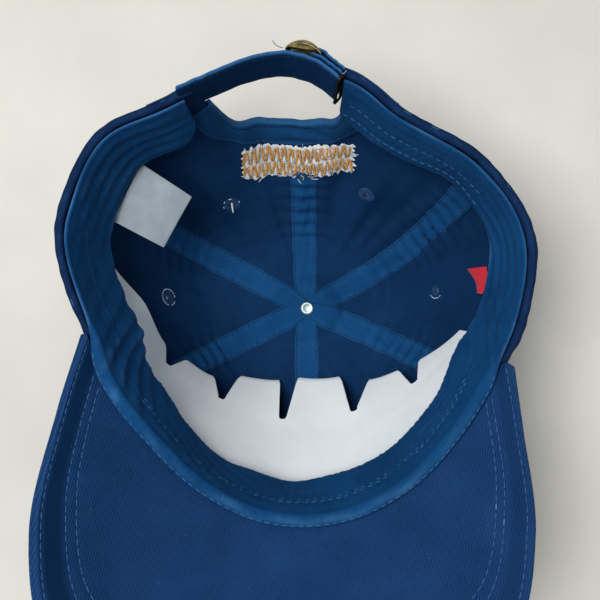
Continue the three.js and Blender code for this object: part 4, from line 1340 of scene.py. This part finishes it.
# Binding round the arch
def makeBinding():
    inner, thick, wide = crown["wall"] + 0.15, arch["bindingThick"], arch["bindingWide"]
    face = []
    for t in np.linspace(0, 1, 26):
        rise = 0.45 * math.sin(math.pi * t) - 0.3 * (hump(t, 0.16, 0.05) + hump(t, 0.86, 0.05))
        face.append((wide * t, inner + thick + rise))
    lip = [(-1.3, -0.9), (-1.55, -0.2), (-1.6, 0.8), (-1.3, 1.7), (-0.7, inner + thick - 0.1)]
    under = [(wide + 0.3, inner + thick * 0.5), (wide, inner + 0.05), (wide / 2, inner), (-0.25, inner)]
    outside = [
        (-0.25, -0.2), (2, -0.15), (6.6, -0.12), (7.0, -0.4),
        (6.3, -0.75), (3.2, -0.85), (0.6, -1.1), (-0.4, -1.0),
    ]
    section = lip + face + under + outside

    def placed(share, aside, depth):
        at, along = archRoute(share), archAlong(share)
        x, z = at[..., 0] + along[..., 1] * aside, at[..., 1] - along[..., 0] * aside
        return crownPoint(*backWallPlace(x, z), depth)

    def pointAt(t, corner):
        share = blend(arch["from"], arch["to"], t)
        return placed(share, corner[..., 0], corner[..., 1] + 0.1 * uneven(t * 70, corner[..., 0] * 0.4, 13))

    def uvAt(t, corner):
        return np.stack([t * archLength * 0.64, corner[..., 0]], -1)

    def wearAndShadeAt(t, corner):
        return 0.7 * hump(corner[..., 0], -1.4, 0.9) + 0.5 * hump(corner[..., 0], wide, 0.6)

    carried(
        "arch_binding_cloth", arch["stations"], section, pointAt, tapeDark, ["arch_binding"],
        uvAt, wearAndShadeAt,
    )
    rows = []
    share = np.linspace(arch["from"] + 0.005, arch["to"] - 0.005, 260)
    for aside in (0.16 * wide, 0.86 * wide):
        def surface(s, a, lift):
            return placed(s, a, inner + thick + 0.1 + (lift - 1.0))
        rows.append(stitchesOn(surface, share, np.full(260, aside), *sewing.values(), 1.0, 0.2, 3))
    threadMesh("arch_stitches", *joinRows(rows), 0.36, navyThread, 0.3)


tapeDark = clothPaint("binding_twill", "093158", "1b5083", "4679a8", 0.8, 40, 0.05, rib=0.12)
makeBinding()
print("arch bound")

# Button outside and rivet inside
button = {"radius": 8.6, "height": 2.1}


def makeButton():
    r, h = button["radius"], button["height"]
    profile = [(0, 0)] + [(r * t, 0.0) for t in (0.3, 0.6, 0.8)]
    corner = 1.2
    quarter = np.linspace(0, math.pi / 2, 7)
    profile += [(r - corner + corner * math.sin(a), corner - corner * math.cos(a)) for a in quarter]
    profile += [(r, h - 0.4), (r - 0.4, h), (r * 0.5, h), (0, h)]
    turned("top_button_cloth", profile, 64, lambda p: p, navy, ["top_button"])


rivet = {
    "stem": 1.7,
    "from": 2.4,
    "base": 5.7,
    "rim": ((2.9, 0), (3.15, 0.2), (3.2, 0.6)),  # radius, and height over the base
    "bead": 0.95,
    "dimple": ((2.1, 1.5), (1.6, 1.35), (1.1, 1.22), (0.6, 1.16), (0, 1.14)),
}


def makeRivet():
    base, stem, bead = rivet["base"], rivet["stem"], rivet["bead"]
    bow = [(2.3 + 0.9 * math.cos(a), 0.6 + bead * math.sin(a)) for a in np.linspace(0.2, 1.35, 7)]
    profile = [(0, rivet["from"]), (stem, rivet["from"]), (stem, base)]
    profile += [(radius, base + rise) for radius, rise in (*rivet["rim"], *bow, *rivet["dimple"])]
    turned("button_rivet_head", profile, 64, lambda p: p, steel, ["button_rivet"])


makeButton()
makeRivet()
print("button and rivet made")

# The white card that keeps the front up
card = {
    "thick": 0.6,
    "topDrop": 9,
    "inset": 2.9,
    "bendDrop": 35,
    "bendLean": 0.62,
    "bendLeast": 14,
    "foot": 0.765,
    "step": 1.1,
    "rows": 50,
    "cornerRound": 1.3,
}
cardTabs = (  # each tab: foot and tip direction of its two sides
    {"foot": (166, 200.0), "tip": (166, 194.5)},
    {"foot": (202.8, 223.9), "tip": (202.8, 216.3)},
    {"foot": (227.8, 254.9), "tip": (225, 250)},
    {"foot": (259.4, 292.3), "tip": (262, 296.2)},
    {"foot": (297.3, 323.6), "tip": (310.4, 326)},
    {"foot": (328, 352), "tip": (335, 352)},
)
cardTips = {
    "angle": (166, 179, 195, 203, 216, 225, 250, 262, 296, 310, 326, 335, 352),
    "reach": (87, 71, 66, 60.5, 54.5, 46, 37.5, 34.3, 37, 45, 52, 57, 68),
    "height": (61, 46, 33, 26.5, 18, 9, 3.4, 3.4, 3.6, 9, 18, 26, 45),
}


def cardColumns():
    # Foot direction, tip direction and reach of every column, with rounded corners and notches
    foot, tip, reach = [], [], []
    for n, tab in enumerate(cardTabs):
        wide = tab["foot"][1] - tab["foot"][0]
        count = max(6, round(wide / card["step"]))
        t = np.linspace(0, 1, count + 1)
        t = np.sort(np.concatenate([t, [0.02, 0.05, 0.95, 0.98]]))
        side = np.minimum(t, 1 - t) * wide
        outer = (n == 0) * (t < 0.5) + (n == len(cardTabs) - 1) * (t > 0.5)
        rounded = np.where(outer > 0, 0, np.clip(1 - side / card["cornerRound"], 0, 1))
        foot += list(blend(tab["foot"][0], tab["foot"][1], t))
        tip += list(blend(tab["tip"][0], tab["tip"][1], t))
        reach += list(1 - 0.035 * rounded**2)
        if n < len(cardTabs) - 1:
            low, high = tab["foot"][1], cardTabs[n + 1]["foot"][0]
            for t, end in ((0.06, 0.02), (0.18, 0.004), (0.5, 0), (0.82, 0.004), (0.94, 0.02)):
                foot.append(blend(low, high, t))
                tip.append(blend(low, high, t))
                reach.append(card["foot"] + end)
    return np.array(foot), np.array(tip), np.array(reach)


def cardSurface(foot, tip, share, depth):
    past = np.maximum(0, (share - card["foot"]) / (1 - card["foot"]))
    angle = blend(foot, tip, past)
    lean = rimValue(angle, "lean")
    top = (rimValue(angle, "radius") - card["inset"], rimValue(angle, "height") - card["topDrop"])
    end = [tableCurve(cardTips["angle"], cardTips[name], angle) for name in ("reach", "height")]
    bend = [top[0] - card["bendLean"] * lean, rimValue(angle, "height") - card["bendDrop"]]
    bend[1] = np.maximum(bend[1], (top[1] + end[1]) / 2 - card["bendLeast"])
    at = [(1 - share) ** 2 * top[n] + 2 * share * (1 - share) * bend[n] + share**2 * end[n] for n in (0, 1)]
    along = [(1 - share) * (bend[n] - top[n]) + share * (end[n] - bend[n]) for n in (0, 1)]
    size = np.hypot(*along)
    turn = np.radians(angle)
    dent = 0.3 * uneven(turn * 4, share * 3, 51)
    crease = -0.15 * hump(share, card["foot"] - 0.04, 0.06)
    inward = depth * card["thick"] + dent + crease
    radius = at[0] + inward * along[1] / size
    height = at[1] - inward * along[0] / size
    return around(radius, turn, height)


def makeCard():
    foot, tip, reach = cardColumns()
    across = len(foot) - 1

    def pick(values, u):
        return values[np.rint(u * across).astype(int)]

    def pointAt(u, v, face):
        past = (v - card["foot"]) * (pick(reach, u) - card["foot"]) / (1 - card["foot"])
        share = np.where(v < card["foot"], v, card["foot"] + past)
        return cardSurface(pick(foot, u), pick(tip, u), share, float(face))

    def uvAt(u, v):
        return np.stack([np.radians(pick(foot, u)) * 80, v * 60], -1)

    piece = clothWall(
        "crown_card", across, card["rows"], pointAt, board, ["crown_insert"], uvAt, None, 0.3
    )
    sheetOf(piece)


makeCard()
print("card made")

# Label, tag and the back of the embroidery
label = {  # its corners, sewn under the sweatband's free edge and hanging free
    "sewn": ((-69.5, 60.5, 66.6), (-81.1, 36.9, 67.2)),
    "free": ((-49.8, 48.0, 55.5), (-61.9, 26.6, 54.5)),
    "bow": 1.6,
    "thick": 0.5,
    "wide": 26,
    "long": 25,
}
tag = {"angle": 9, "at": 0.66, "corners": ((-6.2, 6.2), (5.2, 5.2), (4.2, -7.2), (0.6, -6.6)), "depth": 3.6}
backing = {
    "left": -29,
    "right": 20.5,
    "low": 27.5,
    "high": 40.5,
    "wide": 49,
    "tall": 13,
    "rightUp": 5.0,
    "thick": 0.5,
    "rows": (0.06, 0.53),
    "looseThreads": 260,
    "frays": (  # loose threads at its edge: place and reach, in shares of its width and height
        (1.0, 0.75, 0.05, 0.02), (0.5, -0.02, 0.03, -0.12), (0.62, -0.05, 0.07, -0.04),
        (0.16, 0.0, -0.03, -0.1), (0.02, 1.0, -0.01, 0.12),
    ),
}


def labelSurface(u, v, depth):
    # Hangs from under the sweatband's free edge towards the button
    corners = np.array([*label["sewn"], *label["free"]])
    across, down = np.expand_dims(u, -1), np.expand_dims(v, -1)
    point = blend(blend(corners[0], corners[1], across), blend(corners[2], corners[3], across), down)
    bow = label["bow"] * np.sin(np.pi * v) + 0.5 * np.sin(np.pi * u) * v + 0.25 * uneven(u * 5, v * 5, 111)
    point[..., 2] += bow - (1 - depth) * label["thick"]
    return point


def makeLabel():
    piece = clothWall(
        "side_label_cloth", 40, 36, labelSurface, labelWhite, ["side_label"],
        clothMap(label["wide"], label["long"]), None, 0.3,
    )
    sheetOf(piece)


def makeTag():
    corners = np.array(tag["corners"], float)

    def pointAt(u, v, face):
        across, up = np.expand_dims(u, -1), np.expand_dims(v, -1)
        flat = blend(blend(corners[3], corners[0], up), blend(corners[2], corners[1], up), across)
        at = tag["at"] + flat[..., 0] / crown["lengthUp"]
        angle = tag["angle"] + np.degrees(flat[..., 1] / 84)
        return crownPoint(angle, at, tag["depth"] + 0.5 * face + 0.8 * np.sin(np.pi * u))
    piece = clothWall(
        "side_tag_cloth", 16, 24, pointAt, tagRed, ["side_tag"], clothMap(8, 13), None, 0.3
    )
    sheetOf(piece)


def backingSurface(u, v, depth):
    x = blend(backing["left"], backing["right"], u)
    tilt = backing["rightUp"] * ease(u, 0.5, 1.0) - 0.8 * u
    z = blend(backing["low"], backing["high"], v) + tilt
    angle, at = backWallPlace(x, z)
    return crownPoint(angle, at, crown["wall"] + 0.3 + depth)


def makeBacking():
    def ragged(u, v):
        side = 1.1 * uneven(v * 26, 0 * v, 61) / backing["wide"]
        ends = 0.8 * uneven(u * 90, 0 * u, 63) / backing["tall"]
        return np.clip(u, 0, 1) + side * (2 * np.abs(u - 0.5)) ** 8, v + ends * (2 * np.abs(v - 0.5)) ** 6

    def pointAt(u, v, face):
        a, b = ragged(u, v)
        return backingSurface(a, b, backing["thick"] * face + 0.15 * uneven(u * 60, v * 16, 65) * face)

    piece = clothWall(
        "embroidery_backing_cloth", 110, 36, pointAt, backingWhite, ["embroidery_backing"],
        clothMap(backing["wide"], backing["tall"]), None, 0.5,
    )
    sheetOf(piece)
    chance = np.random.default_rng(71)
    bars = []

    def sew(name, thread, rise):
        table = np.array(bars)
        low = backingSurface(table[:, (0, 2)], table[:, (1, 3)], table[:, 5:6])
        high = backingSurface(table[:, 0], table[:, 1], table[:, 5] + 1)
        normal = unit(high - low[:, 0])
        threadMesh(name, low[:, 0], low[:, 1], normal, table[:, 4], thread, rise)
        bars.clear()

    for row in backing["rows"]:
        u, turn = 0.0, 1
        while u < 0.985:
            lean = 0.009 * turn
            for k in range(3):
                at = u + 0.0042 * k
                ends = row + chance.uniform(-0.03, 0.05), row + 0.4 + chance.uniform(-0.04, 0.06)
                bars.append((at - lean, ends[0], at + lean, ends[1], chance.uniform(0.5, 0.8), 0.75))
            ends = row + chance.uniform(0.1, 0.3), row + chance.uniform(0.1, 0.35)
            bars.append((u - 0.006, ends[0], u + 0.02, ends[1], chance.uniform(0.4, 0.6), 0.9))
            if chance.uniform() < 0.55:
                bars.append((u - 0.012, row + 0.38, u + 0.012, row + 0.41, 0.5, 0.8))
            u += 0.031 + chance.uniform(0, 0.006)
            turn = -turn
    sew("embroidery_gold", goldThread, 0.2)
    for _ in range(backing["looseThreads"]):
        u, v = chance.uniform(0, 1, 2)
        turn, long = chance.uniform(0, math.tau), chance.uniform(0.8, 2.2)
        tip = u + long * math.cos(turn) / backing["wide"], v + long * math.sin(turn) / backing["tall"]
        bars.append((u, v, *tip, chance.uniform(0.2, 0.36), chance.uniform(0.5, 1.1)))
    for u, v, du, dv in backing["frays"]:
        bars.append((u, v, u + du, v + dv, 0.4, 0.9))
    sew("embroidery_loose_threads", paleThread, 0.5)


makeLabel()
makeTag()
makeBacking()
print("label, tag and backing made")

# Back strap and its buckle. The buckle has its own directions: along the strap, out from the cap, and up.
strap = {
    "x": -2.4,
    "y": 97.6,
    "turn": -9,
    "lean": 13,
    "top": 97.5,
    "wide": 19,
    "thick": 1.4,
    "longRoute": (
        (-44.5, -23.4), (-38.2, -19), (-31.6, -14.4), (-23.3, -8.8), (-14, -4.2), (-6.5, -2.2), (0, -2.4),
        (5.5, -3.6), (10.5, -6), (14.6, -8.6),
    ),
    "rows": 34,
    "shortThick": 0.9,
    "shortRoute": (
        (15.6, -6.5), (10.6, -3.7), (7.6, -1.9), (5.8, -1.4), (4.35, -1.1), (4, 0),
        (4.35, 1.1), (5.8, 1.4), (7.6, 0.9), (11.2, -1.6), (16.6, -4.8),
    ),
}


def atBuckle(points):
    lean, turn = math.radians(-strap["lean"]), math.radians(strap["turn"])
    x, y, z = points[..., 0], points[..., 1], points[..., 2]
    y, z = y * math.cos(lean) - z * math.sin(lean), y * math.sin(lean) + z * math.cos(lean)
    x, y = x * math.cos(turn) - y * math.sin(turn), x * math.sin(turn) + y * math.cos(turn)
    middle = strap["top"] - strap["wide"] / 2 * math.cos(lean)
    return np.stack([x + strap["x"], y + strap["y"], z + middle], -1)


def strapSurface(route, thick):
    at, along, length = smoothRoute(route)

    def surface(u, v, depth):
        # Depth 0 is the outer face and 1 the face that looks into the cap
        point, way = at(u), along(u)
        wave = 0.12 * uneven(u * 40, v * 3, 81)
        plump = 0.22 * (1 - (2 * v - 1) ** 6) - 0.12 * (hump(v, 0.1, 0.03) + hump(v, 0.9, 0.03))
        side = (0.5 - depth) * (thick + 2 * plump) + wave
        x = point[..., 0] - way[..., 1] * side
        y = point[..., 1] + way[..., 0] * side
        return atBuckle(np.stack([x, y, (v - 0.5) * strap["wide"]], -1))
    return surface, length


def makeStrap():
    rows = []
    line = np.linspace(0.02, 0.98, 200)
    for name, route, thick, columns in (
        ("strap_long", strap["longRoute"], strap["thick"], 130),
        ("strap_short", strap["shortRoute"], strap["shortThick"], 110),
    ):
        surface, length = strapSurface(route, thick)
        piece = clothWall(
            name + "_cloth", columns, strap["rows"], surface, strapBlue, [name],
            clothMap(length, strap["wide"]),
            lambda u, v: 0.9 * hump(v, 1, 0.05) + 0.3 * hump(v, 0, 0.05), 0.6,
        )
        sheetOf(piece)
        for v in (0.1, 0.9):
            for depth, sign in ((0.0, -1), (1.0, 1)):
                def lifted(u, w, lift, d=depth, s=sign, f=surface):
                    return f(u, w, d + s * (lift - 1.0))
                rows.append(stitchesOn(lifted, line, np.full(200, v), *sewing.values(), 1.0, 0.3, 4))
    threadMesh("strap_stitches", *joinRows(rows), 0.3, strapThread, 0.2)


strapBlue = clothPaint("strap_twill", "031d3b", "0f3a69", "3a72ad", 0.8, 45, 0.06, rib=0.15)
makeStrap()
for node, width, paint in (("buckle_frame", 0.35, brass), ("tuck_slot", 0.2, darkBrass)):
    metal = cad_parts[node]
    metal.data.materials.clear()
    metal.data.materials.append(paint)
    bevel = metal.modifiers.new("bevel", "BEVEL")
    bevel.width = width * mm
    bevel.segments = 3
    bevel.limit_method = "ANGLE"
    bevel.harden_normals = True

plate = {"wide": 13.6, "tall": 21, "lean": 3, "rise": 4.3, "from": 1.9, "wall": 0.9, "higher": 0.6}


def makePlate():
    # The buckle's domed plate, which stands nearly upright behind the strap
    lean, turn = math.radians(plate["lean"]), math.radians(strap["turn"])
    middle = strap["top"] - strap["wide"] / 2 * math.cos(lean)

    def pointAt(u, v, face):
        along, up = (u - 0.5) * plate["wide"], (v - 0.5) * plate["tall"]
        dome = (1 - (2 * u - 1) ** 2) ** 0.8 * (1 - 0.3 * (2 * v - 1) ** 4)
        out = plate["from"] + plate["rise"] * dome - 0.5 * (2 * v - 1) ** 6
        out = out + face * plate["wall"] - up * math.sin(lean)
        x = strap["x"] + along * math.cos(turn) - out * math.sin(turn)
        y = strap["y"] + along * math.sin(turn) + out * math.cos(turn)
        return np.stack([x, y, middle + up * math.cos(lean) + plate["higher"]], -1)

    piece = clothWall("buckle_cover_plate", 40, 40, pointAt, brass, ["buckle_cover"])
    del piece["flat"]


makePlate()

tabs = {  # cloth tabs sewn outside the rim over the roots of the strap
    "spans": {"strap_tab_left": (117.2, 128.5), "strap_tab_right": (66.5, 81.6)},
    "low": 0.87,
    "top": 0.985,
    "away": 0.15,
    "thick": 0.8,
    "cells": 30,
}


def makeTabs():
    rows = []
    for name, (start, end) in tabs["spans"].items():
        def surface(u, v, depth, start=start, end=end):
            at = blend(tabs["low"], 1.0, np.minimum(v, tabs["top"]))
            away = tabs["away"] + depth * tabs["thick"] + 0.2 * uneven(u * 9, v * 7, 121)
            point = crownPoint(blend(start, end, u), at, -away)
            point[..., 2] += 0.9 * np.clip((v - 0.93) / 0.07, 0, 1)  # turned up over the rim
            return point
        piece = clothWall(
            name, tabs["cells"], tabs["cells"], surface, hemNavy, (), clothMap(18, 19),
            lambda u, v: 0.35 * hump(v, 1, 0.06) + 0.2 * hump(u, 0, 0.05) + 0.2 * hump(u, 1, 0.05),
        )
        sheetOf(piece)
        for v in (0.08, 0.9):
            line = np.linspace(0.05, 0.95, 90)
            rows.append(stitchesOn(surface, line, np.full(90, v), *sewing.values(), 1.0, 0.2, 6))
    threadMesh("tab_stitches", *joinRows(rows), 0.34, navyThread, 0.25)


makeTabs()

strays = (  # loose threads: paint, thickness and the places that each passes
    (navyThread, 0.3, ((-9.8, 100.2, 98), (-11.6, 100.6, 98.4), (-13.0, 101.6, 98.5), (-13.9, 103.0, 98.2))),
    (paleThread, 0.3, ((13.2, 92.2, 98.6), (14.1, 92.9, 99.0), (14.4, 94.1, 98.9))),
    (paleThread, 0.26, ((12.6, 90.2, 98.4), (13.6, 90.6, 98.9), (14.3, 91.4, 98.8))),
    (paleThread, 0.24, ((12.9, 88.9, 98.0), (13.7, 89.6, 98.7), (13.4, 90.4, 98.9))),
)


def makeStrays():
    parts = 8
    for n, (paint, thick, places) in enumerate(strays):
        route, _, _ = smoothRoute(places)
        line = route(np.linspace(0, 1, parts + 1))
        upward = np.tile([0.0, 0.0, 1.0], (parts, 1))
        threadMesh(f"stray_thread_{n + 1}", line[:-1], line[1:], upward, thick, paint, 0)


makeStrays()
print("strap, buckle, tabs and loose threads made")

# Stage: a plain pale floor and soft studio light
stage = {"floorSize": 6000, "sky": 0.37, "keyPower": 15.5, "keySize": 760, "keyAt": (-400, 120, 1280)}


def floorPaint():
    paint = Paint("pale_floor", Specular_IOR_Level=0.2, Roughness=0.9)
    cloud = paint.noise(paint.place(), 9.0, 5.0, 0.6)
    share = cloud.between(0.3, 0.7)
    return paint.finish(Base_Color=paint.mix(colour("d3d2cc"), colour("dddcd6"), share))


def areaLight(name, place, aim, size, power, tint):
    data = bpy.data.lights.new(name, "AREA")
    data.shape, data.size, data.energy, data.color = "DISK", size * mm, power, tint
    made = bpy.data.objects.new(name, data)
    made.location = Vector(place) * mm
    made.rotation_euler = (Vector(aim) - Vector(place)).to_track_quat("-Z", "Y").to_euler()
    bpy.context.scene.collection.objects.link(made)


def makeStage():
    half = stage["floorSize"] / 2
    corners = [(-half, -half, 0), (half, -half, 0), (half, half, 0), (-half, half, 0)]
    mesh = bpy.data.meshes.new("floor")
    mesh.from_pydata([tuple(c * mm for c in corner) for corner in corners], [], [(0, 1, 2, 3)])
    mesh.materials.append(floorPaint())
    floor = bpy.data.objects.new("floor", mesh)
    floor.location.z = -0.02 * mm  # just under the lowest cloth
    bpy.context.scene.collection.objects.link(floor)
    world = bpy.data.worlds.new("studio")
    world.use_nodes = True
    sky = world.node_tree.nodes["Background"].inputs
    sky["Color"].default_value = (1.0, 1.0, 1.0, 1)
    sky["Strength"].default_value = stage["sky"]
    bpy.context.scene.world = world
    areaLight("key", stage["keyAt"], (0, 0, 40), stage["keySize"], stage["keyPower"], (1.0, 0.99, 0.97))
    bpy.context.scene.view_settings.view_transform = "Standard"


makeStage()
print("stage made")
